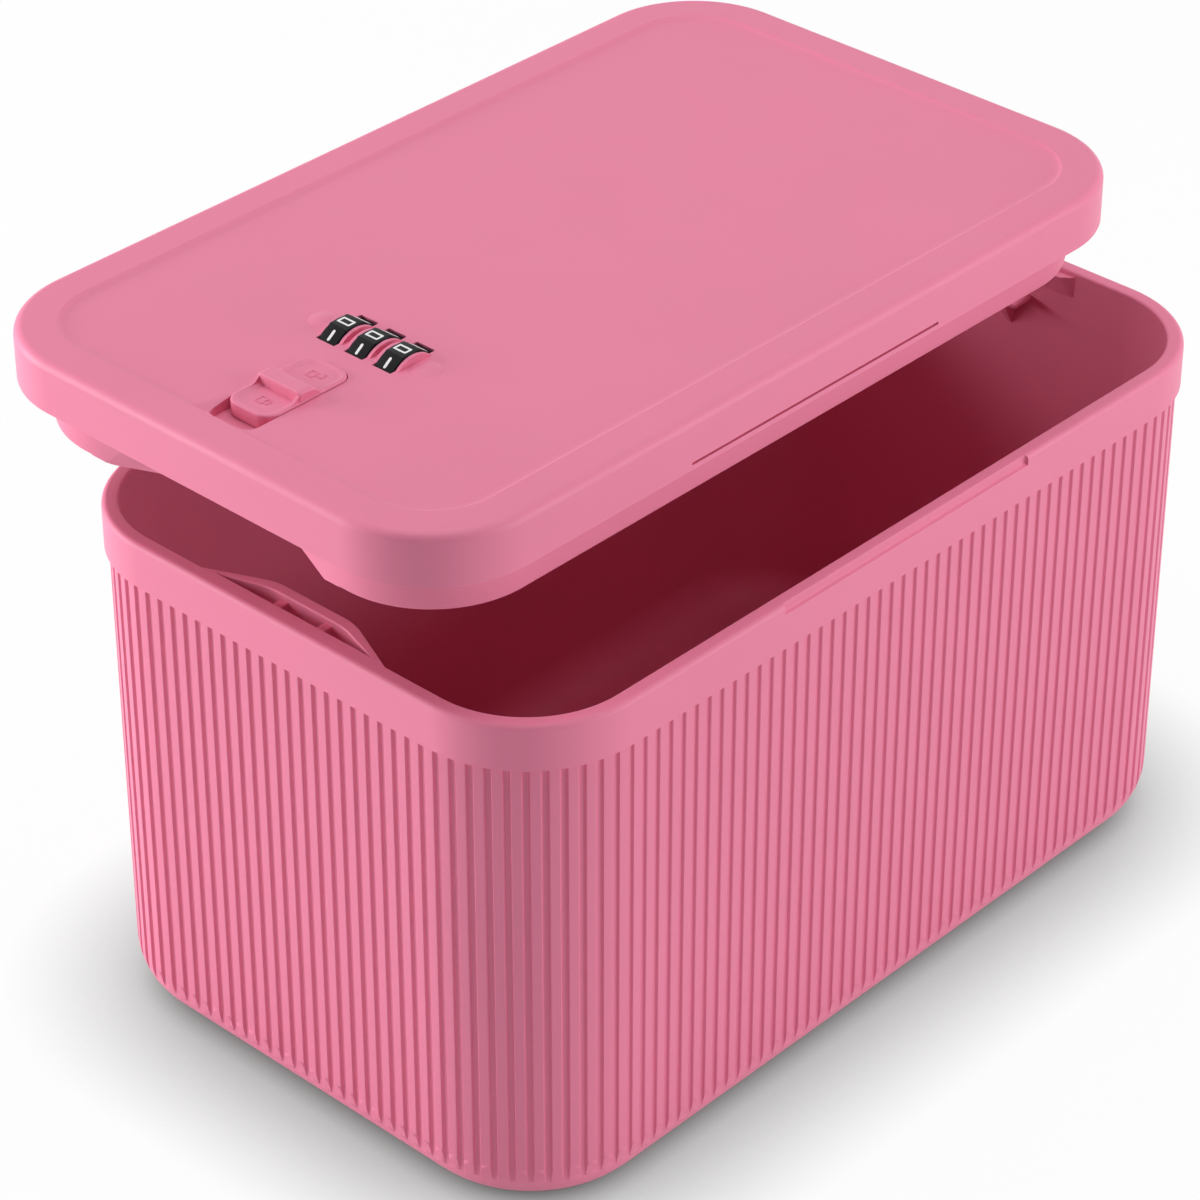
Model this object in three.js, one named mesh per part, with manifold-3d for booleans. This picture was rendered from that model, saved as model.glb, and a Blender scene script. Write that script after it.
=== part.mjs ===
// Medication lock box: an open tub, and a lift-off lid that holds a three-wheel combination lock.
// Millimetres, +Z up. The origin is the centre of the tub's flat underside, the lock end faces -Y,
// the tub's length runs along Y and its width along X. The lid is drawn lifted off, as it is shown.

import * as THREE from 'three';
import { mergeGeometries, mergeVertices } from 'three/addons/utils/BufferGeometryUtils.js';
import Module from 'manifold-3d';

const wasm = await Module();
wasm.setup();

// Driving sizes

// Clearances and cuts that every piece shares
const gap = 0.3;
const overrun = 1;
const cornerSteps = 8;
const roundSteps = 18;
const screwSteps = 10;

// Tub
const tubWidth = 200;
const tubLength = 322;
const tubHeight = 178.5;
const tubCornerRadius = 39.5;
const tubBottomRadius = 18;
const rimWidth = 5.4;
const rimBandHeight = 15;
const rimOuterRound = 1.8;
const rimInnerRound = 0.8;
const tubFloor = 3.5;
const wallDraft = 0.5;
const wallRecess = 0.1;
const wallCornerGrowth = 3.2;
const grooveCount = 180;
const grooveWidth = 2.5;
const grooveFloorWidth = 1.7;
const grooveDepth = 0.9;
const grooveTopGap = 0.3;
const gripGrooveLength = 112;
const gripGrooveHeight = 3.2;
const gripGrooveDepth = 1.4;

// Keeper loop on the tub's front rim
const keeperRootHalf = 38.5;
const keeperNoseHalf = 16;
const keeperReach = 10;
const keeperThickness = 5;
const keeperBar = 4.3;
const keeperSlotHalf = 31.5;
const keeperSlotLand = 0.7;
const keeperRibPlace = 9;
const keeperRibWidth = 3.2;
const keeperRibDrop = 2;
const keeperRibDepth = 2.6;

// Rear catch on the tub's back wall
const catchHalfWidth = 41;
const catchTopDrop = 1.8;
const catchHeight = 7.4;
const catchReach = 3.4;
const shelfPlace = 16;
const shelfWidth = 16;
const shelfClearance = 0.6;
const shelfThickness = 2;
const shelfReach = 9;
const gussetWidth = 4;
const gussetHeight = 13;

// The way the lid lifts off, from seated to where it is drawn
const lidLiftX = -18;
const lidLiftY = -18;
const lidLiftZ = 43;

// Lid shell
const lidSetBack = 3.8;
const flangeHeight = 17;
const lidEdgeRound = 3;
const lidWall = 2.4;
const borderWidth = 13;
const panelRamp = 3.5;
const panelDrop = 1;
const slitLength = 109;
const slitHeight = 0.9;
const slitDepth = 1.4;
const slitPlace = 2;

// Lid liner
const skirtDepth = 14;
const skirtGapTop = 4.5;
const skirtGapBottom = 6.3;
const linerWall = 2.2;
const linerLip = 2;
const keeperClearance = 0.8;
const hookWidth = 14;
const hookWallGap = 0.4;

// Posts and screws
const linerPostFromEdge = 26.2;
const linerPostYShares = [-0.78, 0, 0.78];
const linerPostRadius = 4.2;
const screwShankRadius = 1.3;
const screwHoleRadius = 1.6;
const screwHeadRadius = 2.8;
const screwHeadThickness = 1.7;
const screwLength = 10;
const screwSlotWidth = 0.8;
const screwSlotDepth = 0.6;
const framePostX = 37;
const framePostRadius = 3.4;
const framePostFrontGap = 14;
const framePostRearGap = 9;
const frameEarZ = 3.7;
const frameEarThickness = 2.3;
const frameScrewLength = 7;

// Number wheels
const wheelCount = 3;
const wheelFacets = 10;
const wheelRadius = 11;
const wheelWidth = 6.7;
const wheelPitch = 11.5;
const wheelStandProud = 3.5;
const wheelRowFromFront = 73;
const wheelSlotGap = 0.6;
const wheelSideGap = 0.4;
const dividerDrop = 0.9;
const keywayDepth = 0.9;
const keywayWidth = 1.4;
const wheelSlotSteps = 40;

// Clutch sleeves, spindle and what sits on it
const spindleRadius = 2.5;
const sleeveRadius = 4.4;
const gateRadius = 5.7;
const gateThickness = 2.5;
const gateSideGap = 1.05;
const gateFlatDepth = 1.1;
const clipThickness = 0.9;
const clipRadius = 4.6;
const springWire = 0.8;
const springTurns = 5;
const springRadius = 3.9;
const wireSides = 5;
const stepsPerTurn = 8;

// Lock frame
const frameHalfWidth = 31;
const frameWall = 2;
const frameFloorTop = -5.2;
const frameRearGap = 5;
const bridgeLength = 16;
const bridgeTop = 2;
const leafThickness = 0.6;
const leafFingerWidth = 5;
const leafFootLength = 8;
const leafTopAboveAxis = 1.5;

// Slide button and latch
const buttonLength = 34;
const buttonWidth = 18;
const buttonCorner = 5;
const buttonFromFront = 39;
const buttonProud = 0.9;
const buttonRidgeHeight = 2.8;
const buttonRidgeLength = 8.4;
const buttonRidgeFrontTaper = 0.4;
const buttonRidgeRearTaper = 3;
const buttonDish = 0.6;
const buttonRim = 1.6;
const buttonPocketDepth = 4;
const pocketWall = 2;
const slideTravel = 8;
const stemWidth = 8;
const stemLength = 9;
const latchPlate = 2.5;
const latchLegThickness = 3;
const latchWidth = 26;
const latchPlateWidth = 20;
const latchHookThickness = 3.3;
const latchReachBack = 4.2;
const combWidth = 2;
const combDepth = 4.6;
const toothHeight = 0.8;
const toothLength = 1.2;

// Reset button
const resetFromWheels = 27;
const resetRadius = 3;
const resetFlangeRadius = 5.2;
const resetFlangeThickness = 1.5;
const resetProud = 1.2;
const resetSpringRadius = 4.2;
const resetSpringTurns = 4;

// Sizes and places worked out from the driving sizes

const tubHalfX = tubWidth / 2;
const tubHalfY = tubLength / 2;
const mouthHalfX = tubHalfX - rimWidth;
const mouthHalfY = tubHalfY - rimWidth;
const mouthCorner = tubCornerRadius - rimWidth;
const lidHalfX = tubHalfX - lidSetBack;
const lidHalfY = tubHalfY - lidSetBack;
const lidCorner = tubCornerRadius - lidSetBack;
const panelTop = flangeHeight - panelDrop;
const panelUnder = panelTop - lidWall;
const shelfDrop = skirtDepth + shelfClearance;
const keeperNoseY = -(mouthHalfY - keeperReach);
const liftPerRise = -lidLiftY / lidLiftZ;
const wheelY = -lidHalfY + wheelRowFromFront;
const wheelZ = panelTop + wheelStandProud - wheelRadius;
const wheelPlaces = Array.from({ length: wheelCount }, (_, i) => (i - (wheelCount - 1) / 2) * wheelPitch);
const buttonY = -lidHalfY + buttonFromFront;
const pocketFloor = panelTop - buttonPocketDepth;
const pocketUnder = pocketFloor - pocketWall;
const pocketHalfX = buttonWidth / 2 + gap;
const pocketRear = buttonY + buttonLength / 2 + gap;
const pocketFront = buttonY - buttonLength / 2 - slideTravel - gap;
const linerPlateTop = -skirtDepth + linerWall;
const linerBossTop = linerPlateTop + linerWall;
const linerPostX = lidHalfX - linerPostFromEdge;
const linerPosts = linerPostYShares.flatMap((share) => [
  [-linerPostX, share * lidHalfY],
  [linerPostX, share * lidHalfY],
]);
const frameFloorUnder = frameFloorTop - frameWall;
const frameFrontY = buttonY - frameWall * 2;
const frameRearY = wheelY + wheelRadius + frameRearGap;
const frameTop = panelUnder - gap;
const framePosts = [wheelY - wheelRadius - framePostFrontGap, wheelY + framePostRearGap]
  .flatMap((y) => [-framePostX, framePostX].map((x) => [x, y]));
const latchTop = pocketUnder - gap * 2;
const latchHookTop = -keeperThickness - gap;
const latchHookBottom = latchHookTop - latchHookThickness;
const latchTipY = keeperNoseY + latchReachBack;
const latchLegY = latchTipY + latchPlateWidth / 2 + gap;
const gateFlatZ = wheelZ - gateRadius + gateFlatDepth;
const combTop = wheelZ - gateRadius - gap;
const resetY = wheelY + resetFromWheels;

// Materials

const pinkPlastic = new THREE.MeshStandardMaterial({ color: 0xe586a0, roughness: 0.42, metalness: 0 });
const pinkInner = new THREE.MeshStandardMaterial({ color: 0xdf7f9a, roughness: 0.5, metalness: 0 });
const blackPlastic = new THREE.MeshStandardMaterial({ color: 0x17181a, roughness: 0.38, metalness: 0 });
const greyPlastic = new THREE.MeshStandardMaterial({ color: 0x8d9196, roughness: 0.55, metalness: 0 });
const steel = new THREE.MeshStandardMaterial({ color: 0xb4b7ba, roughness: 0.32, metalness: 1 });
const springSteel = new THREE.MeshStandardMaterial({ color: 0x8f9499, roughness: 0.28, metalness: 1 });

// Solid helpers

function toSolid(geometry) {
  const bare = geometry.clone();
  bare.deleteAttribute('normal');
  bare.deleteAttribute('uv');
  const merged = mergeVertices(bare, 1e-5);
  const mesh = new wasm.Mesh({
    numProp: 3,
    vertProperties: new Float32Array(merged.attributes.position.array),
    triVerts: new Uint32Array(merged.index.array),
  });
  return new wasm.Manifold(mesh);
}

function toGeometry(solid) {
  const mesh = solid.getMesh();
  const geometry = new THREE.BufferGeometry();
  geometry.setAttribute('position', new THREE.BufferAttribute(new Float32Array(mesh.vertProperties), 3));
  geometry.setIndex(new THREE.BufferAttribute(new Uint32Array(mesh.triVerts), 1));
  geometry.computeVertexNormals();
  return geometry;
}

function join(first, ...others) {
  return others.reduce((sum, other) => sum.add(other), first);
}

function cut(first, ...others) {
  return others.reduce((rest, other) => rest.subtract(other), first);
}

function piece(name, shape, material) {
  const geometry = shape instanceof THREE.BufferGeometry ? shape : toGeometry(shape);
  const mesh = new THREE.Mesh(geometry, material);
  mesh.name = name;
  return mesh;
}

function block(x0, x1, y0, y1, z0, z1) {
  const geometry = new THREE.BoxGeometry(x1 - x0, y1 - y0, z1 - z0);
  geometry.translate((x0 + x1) / 2, (y0 + y1) / 2, (z0 + z1) / 2);
  return toSolid(geometry);
}

function post(x, y, radius, z0, z1, steps = screwSteps) {
  const geometry = new THREE.CylinderGeometry(radius, radius, z1 - z0, steps);
  geometry.rotateX(Math.PI / 2);
  geometry.translate(x, y, (z0 + z1) / 2);
  return toSolid(geometry);
}

function axle(x0, x1, y, z, radius, steps = roundSteps) {
  const geometry = new THREE.CylinderGeometry(radius, radius, x1 - x0, steps);
  geometry.rotateZ(Math.PI / 2);
  geometry.translate((x0 + x1) / 2, y, z);
  return toSolid(geometry);
}

function plate(points, z0, z1) {
  const shape = new THREE.Shape(points);
  const geometry = new THREE.ExtrudeGeometry(shape, { depth: z1 - z0, bevelEnabled: false });
  geometry.translate(0, 0, z0);
  return toSolid(geometry);
}

// A profile drawn in Y and Z, extruded along X.
function profileAlongX(profile, x0, x1) {
  const shape = new THREE.Shape(profile.map(([y, z]) => new THREE.Vector2(y, z)));
  const geometry = new THREE.ExtrudeGeometry(shape, { depth: x1 - x0, bevelEnabled: false });
  const turn = new THREE.Matrix4().makeBasis(
    new THREE.Vector3(0, 1, 0), new THREE.Vector3(0, 0, 1), new THREE.Vector3(1, 0, 0));
  geometry.applyMatrix4(turn);
  geometry.translate(x0, 0, 0);
  return toSolid(geometry);
}

// A rectangle with round corners, drawn counter-clockwise.
function roundedOutline(halfX, halfY, radius, steps = cornerSteps) {
  const centres = [[1, 1], [-1, 1], [-1, -1], [1, -1]];
  return centres.flatMap(([sideX, sideY], corner) => Array.from({ length: steps + 1 }, (_, i) => {
    const angle = (corner + i / steps) * Math.PI / 2;
    return new THREE.Vector2(
      sideX * (halfX - radius) + radius * Math.cos(angle),
      sideY * (halfY - radius) + radius * Math.sin(angle));
  }));
}

// A skin through outlines that share their number of points, closed by its first and last outline.
function loft(levels) {
  const count = levels[0].outline.length;
  const positions = levels.flatMap(({ outline, z }) => outline.flatMap((p) => [p.x, p.y, z]));
  const index = [];
  for (let level = 0; level + 1 < levels.length; level += 1) {
    for (let i = 0; i < count; i += 1) {
      const next = (i + 1) % count;
      const a = level * count + i;
      const b = level * count + next;
      index.push(a, b, b + count, a, b + count, a + count);
    }
  }
  const first = THREE.ShapeUtils.triangulateShape(levels[0].outline, []);
  const last = THREE.ShapeUtils.triangulateShape(levels[levels.length - 1].outline, []);
  const top = (levels.length - 1) * count;
  first.forEach(([a, b, c]) => index.push(a, c, b));
  last.forEach(([a, b, c]) => index.push(top + a, top + b, top + c));
  const geometry = new THREE.BufferGeometry();
  geometry.setAttribute('position', new THREE.BufferAttribute(new Float32Array(positions), 3));
  geometry.setIndex(index);
  return toSolid(geometry);
}

// Quarter turns of a profile: pairs of how far in and how high, as shares of a radius.
function quarter(steps) {
  return Array.from({ length: steps + 1 }, (_, i) => {
    const angle = (i / steps) * Math.PI / 2;
    return [1 - Math.cos(angle), Math.sin(angle)];
  });
}

function insetOutline(halfX, halfY, radius, inset) {
  return roundedOutline(halfX - inset, halfY - inset, radius - inset);
}

// A wire along an open helix around the Z axis.
function coil(radius, wire, turns, length) {
  const points = Array.from({ length: turns * stepsPerTurn + 1 }, (_, i) => {
    const angle = (i / stepsPerTurn) * Math.PI * 2;
    const rise = (i / (turns * stepsPerTurn)) * length;
    return new THREE.Vector3(radius * Math.cos(angle), radius * Math.sin(angle), rise);
  });
  const section = Array.from({ length: wireSides }, (_, i) => {
    const angle = (i / wireSides) * Math.PI * 2;
    return new THREE.Vector2(wire / 2 * Math.cos(angle), wire / 2 * Math.sin(angle));
  });
  return new THREE.ExtrudeGeometry(new THREE.Shape(section), {
    steps: turns * stepsPerTurn,
    extrudePath: new THREE.CatmullRomCurve3(points),
  });
}

// Tub

function tubOutline(inset) {
  return insetOutline(tubHalfX, tubHalfY, tubCornerRadius, inset);
}

// The wall below the rim band has rounder corners than the band, so it stands back there.
function wallOutline(inset) {
  return insetOutline(tubHalfX, tubHalfY, tubCornerRadius + wallCornerGrowth, wallRecess + inset);
}

function tubShell() {
  const mouth = (inset) => insetOutline(mouthHalfX, mouthHalfY, mouthCorner, inset);
  const innerBottomRadius = tubBottomRadius - rimWidth;
  const levels = quarter(6).reverse().map(([inward, low]) => ({
    outline: wallOutline(inward * tubBottomRadius),
    z: tubBottomRadius * (1 - low),
  }));
  levels.push({ outline: wallOutline(0), z: tubHeight - rimBandHeight });
  levels.push({ outline: tubOutline(0), z: tubHeight - rimBandHeight });
  quarter(3).forEach(([inward, high]) => levels.push({
    outline: tubOutline(inward * rimOuterRound),
    z: tubHeight - rimOuterRound * (1 - high),
  }));
  levels.push({ outline: mouth(-rimInnerRound), z: tubHeight });
  levels.push({ outline: mouth(0), z: tubHeight - rimInnerRound });
  quarter(4).forEach(([inward, low]) => levels.push({
    outline: mouth(wallDraft + inward * innerBottomRadius),
    z: tubFloor + innerBottomRadius * (1 - low),
  }));
  return loft(levels);
}

// The place and outward direction at a distance along the wall's outline.
function alongWall(distance) {
  const radius = tubCornerRadius + wallCornerGrowth - wallRecess;
  const straightX = 2 * (tubHalfX - wallRecess - radius);
  const straightY = 2 * (tubHalfY - wallRecess - radius);
  const arc = radius * Math.PI / 2;
  let left = distance;
  for (let side = 0; side < 4; side += 1) {
    const outward = side * Math.PI / 2;
    const normal = new THREE.Vector2(Math.cos(outward), Math.sin(outward));
    const forward = new THREE.Vector2(-normal.y, normal.x);
    const straight = side % 2 === 0 ? straightY : straightX;
    const offset = (side % 2 === 0 ? tubHalfX : tubHalfY) - wallRecess;
    const start = normal.clone().multiplyScalar(offset).addScaledVector(forward, -straight / 2);
    if (left < straight) return { point: start.addScaledVector(forward, left), angle: outward };
    left -= straight;
    if (left < arc) {
      const angle = outward + left / radius;
      const centre = start.addScaledVector(forward, straight).addScaledVector(normal, -radius);
      const outwards = new THREE.Vector2(Math.cos(angle), Math.sin(angle));
      return { point: centre.addScaledVector(outwards, radius), angle };
    }
    left -= arc;
  }
  return alongWall(0);
}

// Upright grooves round the wall. They go straight down and run out where the wall rounds into the floor.
function grooves() {
  const radius = tubCornerRadius + wallCornerGrowth - wallRecess;
  const around = 4 * (tubHalfX + tubHalfY - 2 * wallRecess - 2 * radius) + 2 * Math.PI * radius;
  const bottom = tubBottomRadius / 3;
  const half = grooveWidth / 2;
  const floorHalf = grooveFloorWidth / 2;
  const wider = half + (half - floorHalf) * overrun / grooveDepth;
  const section = [
    [-grooveDepth, -floorHalf], [overrun, -wider], [overrun, wider], [-grooveDepth, floorHalf],
  ].map(([x, y]) => new THREE.Vector2(x, y));
  const single = new THREE.ExtrudeGeometry(new THREE.Shape(section), {
    depth: tubHeight - rimBandHeight - grooveTopGap - bottom,
    bevelEnabled: false,
  });
  single.translate(0, 0, bottom);
  const all = Array.from({ length: grooveCount }, (_, i) => {
    const { point, angle } = alongWall((i + 0.5) * around / grooveCount);
    return single.clone().rotateZ(angle).translate(point.x, point.y, 0);
  });
  return toSolid(mergeGeometries(all));
}

function keeperLoop() {
  const root = -mouthHalfY - rimWidth / 2;
  const flare = (keeperRootHalf - keeperNoseHalf) / keeperReach;
  const rootHalf = keeperRootHalf + flare * rimWidth / 2;
  const body = plate([
    new THREE.Vector2(-rootHalf, root), new THREE.Vector2(rootHalf, root),
    new THREE.Vector2(keeperNoseHalf, keeperNoseY), new THREE.Vector2(-keeperNoseHalf, keeperNoseY),
  ], tubHeight - keeperThickness, tubHeight);
  const slotOuter = -mouthHalfY + keeperSlotLand;
  const slotInner = keeperNoseY - keeperBar;
  const slotInnerHalf = keeperNoseHalf - keeperSlotLand;
  const slot = plate([
    new THREE.Vector2(-keeperSlotHalf, slotOuter), new THREE.Vector2(keeperSlotHalf, slotOuter),
    new THREE.Vector2(slotInnerHalf, slotInner), new THREE.Vector2(-slotInnerHalf, slotInner),
  ], tubHeight - keeperThickness - overrun, tubHeight + overrun);
  const ribs = [-keeperRibPlace, keeperRibPlace].map((x) => block(
    x - keeperRibWidth / 2, x + keeperRibWidth / 2, slotOuter - overrun / 2, slotInner + overrun / 2,
    tubHeight - keeperRibDrop - keeperRibDepth, tubHeight - keeperRibDrop));
  return { body, slot, ribs };
}

// The catch overhangs along the way the lid lifts, so a straight pull upwards is held by it.
function rearCatch() {
  const wall = mouthHalfY + rimWidth / 2;
  const top = tubHeight - catchTopDrop;
  const foot = catchReach - liftPerRise * catchHeight;
  const lip = profileAlongX([
    [wall, top - catchHeight], [wall, top],
    [mouthHalfY - catchReach, top], [mouthHalfY - foot, top - catchHeight],
  ], -catchHalfWidth, catchHalfWidth);
  const shelfTop = tubHeight - shelfDrop;
  const shelves = [-shelfPlace, shelfPlace].flatMap((x) => [
    block(x - shelfWidth / 2, x + shelfWidth / 2, mouthHalfY - shelfReach, wall,
      shelfTop - shelfThickness, shelfTop),
    profileAlongX([
      [wall, shelfTop - shelfThickness - gussetHeight],
      [wall, shelfTop - shelfThickness / 2],
      [mouthHalfY - shelfReach, shelfTop - shelfThickness / 2],
      [mouthHalfY - shelfReach, shelfTop - shelfThickness],
    ], x - gussetWidth / 2, x + gussetWidth / 2),
  ]);
  return [lip, ...shelves];
}

function gripGrooves() {
  return [-1, 1].map((side) => {
    const inner = side * (tubHalfX - gripGrooveDepth);
    const outer = side * (tubHalfX + overrun);
    return block(Math.min(inner, outer), Math.max(inner, outer),
      -gripGrooveLength / 2, gripGrooveLength / 2,
      tubHeight - gripGrooveHeight, tubHeight + overrun);
  });
}

function tub() {
  const keeper = keeperLoop();
  const grooved = cut(tubShell(), grooves(), ...gripGrooves());
  const looped = cut(join(grooved, keeper.body), keeper.slot);
  return piece('tub', join(looped, ...keeper.ribs, ...rearCatch()), pinkPlastic);
}

// Lid shell

function lidShell() {
  const edge = (inset) => insetOutline(lidHalfX, lidHalfY, lidCorner, inset);
  const levels = [{ outline: edge(0), z: 0 }];
  quarter(3).forEach(([inward, high]) => levels.push({
    outline: edge(inward * lidEdgeRound),
    z: flangeHeight - lidEdgeRound * (1 - high),
  }));
  levels.push({ outline: edge(borderWidth), z: flangeHeight });
  levels.push({ outline: edge(borderWidth + panelRamp), z: panelTop });
  const hollow = loft([
    { outline: edge(lidWall), z: -overrun },
    { outline: edge(lidWall), z: panelUnder },
  ]);
  const skin = cut(loft(levels), hollow);

  const pocketHalfLength = (pocketRear - pocketFront) / 2;
  const pocketMiddle = (pocketRear + pocketFront) / 2;
  const aroundPocket = (grow) => roundedOutline(pocketHalfX + grow, pocketHalfLength + grow,
    buttonCorner + grow, 5).map((p) => new THREE.Vector2(p.x, p.y + pocketMiddle));
  const pocketBox = plate(aroundPocket(pocketWall), pocketUnder, panelUnder + lidWall / 2);
  const pocket = plate(aroundPocket(0), pocketFloor, flangeHeight + overrun);
  const stemSlot = block(-stemWidth / 2 - gap, stemWidth / 2 + gap,
    buttonY - stemLength / 2 - slideTravel - gap, buttonY + stemLength / 2 + gap,
    pocketUnder - overrun, pocketFloor + overrun);

  const slotHalf = wheelWidth / 2 + wheelSideGap;
  const wheelSlots = wheelPlaces.map((x) => axle(x - slotHalf, x + slotHalf, wheelY, wheelZ,
    wheelRadius + wheelSlotGap, wheelSlotSteps));
  const rowHalf = wheelPlaces[wheelCount - 1] + wheelPitch / 2 + wheelSideGap;
  const archBand = block(-rowHalf, rowHalf, wheelY - wheelRadius, wheelY + wheelRadius,
    panelUnder + lidWall / 2, panelTop + wheelRadius);
  const arches = axle(-rowHalf, rowHalf, wheelY, wheelZ, wheelRadius - dividerDrop, wheelSlotSteps)
    .intersect(archBand);

  const gateEnd = wheelPlaces[wheelCount - 1] + wheelWidth / 2 + gateSideGap + gateThickness + gap;
  const gateRoom = axle(-rowHalf, gateEnd, wheelY, wheelZ, gateRadius + gap, wheelSlotSteps);

  const postTop = panelUnder + lidWall / 2;
  const posts = linerPosts.map(([x, y]) => post(x, y, linerPostRadius, linerBossTop + gap, postTop));
  const postHoles = linerPosts.map(([x, y]) => post(x, y, screwHoleRadius, linerBossTop,
    linerBossTop + screwLength));
  const frameBosses = framePosts.map(([x, y]) => post(x, y, framePostRadius, frameEarZ + gap, postTop));
  const frameHoles = framePosts.map(([x, y]) => post(x, y, screwHoleRadius, frameEarZ,
    frameEarZ + frameScrewLength));
  const slits = [-1, 1].map((side) => {
    const inner = side * (lidHalfX - slitDepth);
    const outer = side * (lidHalfX + overrun);
    return block(Math.min(inner, outer), Math.max(inner, outer), -slitLength / 2, slitLength / 2,
      slitPlace, slitPlace + slitHeight);
  });
  const solid = join(skin, pocketBox, arches, ...posts, ...frameBosses);
  const holes = [...postHoles, ...frameHoles];
  return piece('lid_shell', cut(solid, pocket, stemSlot, ...wheelSlots, gateRoom, ...holes, ...slits),
    pinkPlastic);
}

// Lid liner: a tray whose skirt hangs inside the tub's mouth

function skirtOutline(wallIn, depthShare) {
  const inset = skirtGapTop + (skirtGapBottom - skirtGapTop) * depthShare + wallIn;
  return roundedOutline(mouthHalfX - inset, mouthHalfY - inset, mouthCorner - wallIn);
}

// The room that the skirt leaves for the keeper loop as the lid lifts off, in plan at a height.
function keeperRoomAt(z, grow) {
  const shift = liftPerRise * -z;
  const room = keeperClearance + grow;
  const flareX = keeperRootHalf - keeperNoseHalf;
  const flankLength = Math.hypot(flareX, keeperReach);
  const noseY = keeperNoseY + shift + room;
  const noseHalf = keeperNoseHalf + shift + room * (flankLength - flareX) / keeperReach;
  const mouthY = -mouthHalfY - keeperReach;
  const mouthHalf = noseHalf + (noseY - mouthY) * flareX / keeperReach;
  const outline = [
    new THREE.Vector2(-mouthHalf, mouthY), new THREE.Vector2(mouthHalf, mouthY),
    new THREE.Vector2(noseHalf, noseY), new THREE.Vector2(-noseHalf, noseY),
  ];
  return { outline, z };
}

function keeperRoom(grow, top) {
  return loft([keeperRoomAt(-skirtDepth - overrun, grow), keeperRoomAt(top, grow)]);
}

function lidLiner() {
  const lipInset = lidWall + gap;
  const lip = plate(insetOutline(lidHalfX, lidHalfY, lidCorner, lipInset), gap, gap + linerLip);
  const outer = loft([
    { outline: skirtOutline(0, 1), z: -skirtDepth },
    { outline: skirtOutline(0, 0), z: gap + linerLip / 2 },
  ]);
  const innerTopShare = -(gap + linerLip + overrun) / skirtDepth;
  const inner = loft([
    { outline: skirtOutline(linerWall, -linerPlateTop / skirtDepth), z: linerPlateTop },
    { outline: skirtOutline(linerWall, innerTopShare), z: gap + linerLip + overrun },
  ]);
  const room = keeperRoom(0, gap);
  const keptRoom = keeperRoom(linerWall, gap + linerLip + overrun * 2);
  const tray = join(cut(outer, room), lip);
  const bosses = linerPosts.map(([x, y]) => post(x, y, linerPostRadius, -skirtDepth + linerWall / 2,
    linerBossTop));
  const hollowed = join(cut(tray, cut(inner, keptRoom)), ...bosses, ...rearHooks());
  const headSeats = linerPosts.map(([x, y]) => post(x, y, screwHeadRadius + gap, -skirtDepth - overrun,
    -skirtDepth + screwHeadThickness + gap));
  const shankHoles = linerPosts.map(([x, y]) => post(x, y, screwHoleRadius, -skirtDepth,
    linerBossTop + overrun));
  const resetHole = post(0, resetY, resetRadius + gap, -skirtDepth - overrun,
    linerPlateTop + overrun, roundSteps);
  const window = block(-latchWidth / 2 - gap, latchWidth / 2 + gap, keeperNoseY, latchLegY,
    latchHookBottom - gap, latchHookTop + gap);
  return piece('lid_liner', cut(hollowed, ...headSeats, ...shankHoles, resetHole, window), pinkInner);
}

// Hooks on the back of the skirt, whose faces lean like the catch that holds them.
function rearHooks() {
  const wallGapAt = (z) => skirtGapTop + (skirtGapBottom - skirtGapTop) * (-z / skirtDepth);
  const faceAt = (z) => Math.max(hookWallGap, catchReach + gap - liftPerRise * (-z - catchTopDrop));
  const bottom = -skirtDepth;
  const top = -catchTopDrop - gap;
  const bend = -catchTopDrop - (catchReach + gap - hookWallGap) / liftPerRise;
  return [-shelfPlace, shelfPlace].map((x) => profileAlongX([
    [mouthHalfY - wallGapAt(bottom) - linerWall / 2, bottom],
    [mouthHalfY - hookWallGap, bottom],
    [mouthHalfY - hookWallGap, bend],
    [mouthHalfY - faceAt(top), top],
    [mouthHalfY - wallGapAt(top) - linerWall / 2, top],
  ], x - hookWidth / 2, x + hookWidth / 2));
}

// Screws, all driven upwards from below

function screw(name, x, y, headUnder, length) {
  const shaft = post(x, y, screwShankRadius, headUnder + screwHeadThickness / 2,
    headUnder + screwHeadThickness + length);
  const head = post(x, y, screwHeadRadius, headUnder, headUnder + screwHeadThickness);
  const slot = block(x - screwHeadRadius - overrun, x + screwHeadRadius + overrun,
    y - screwSlotWidth / 2, y + screwSlotWidth / 2, headUnder - overrun, headUnder + screwSlotDepth);
  return piece(name, cut(join(shaft, head), slot), steel);
}

function linerScrews() {
  const headUnder = -skirtDepth;
  return linerPosts.map(([x, y], i) => screw(`liner_screw_${i + 1}`, x, y, headUnder, screwLength));
}

function frameScrews() {
  const headUnder = frameEarZ - frameEarThickness - gap - screwHeadThickness;
  return framePosts.map(([x, y], i) => screw(`frame_screw_${i + 1}`, x, y, headUnder, frameScrewLength));
}

// Lock frame

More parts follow.
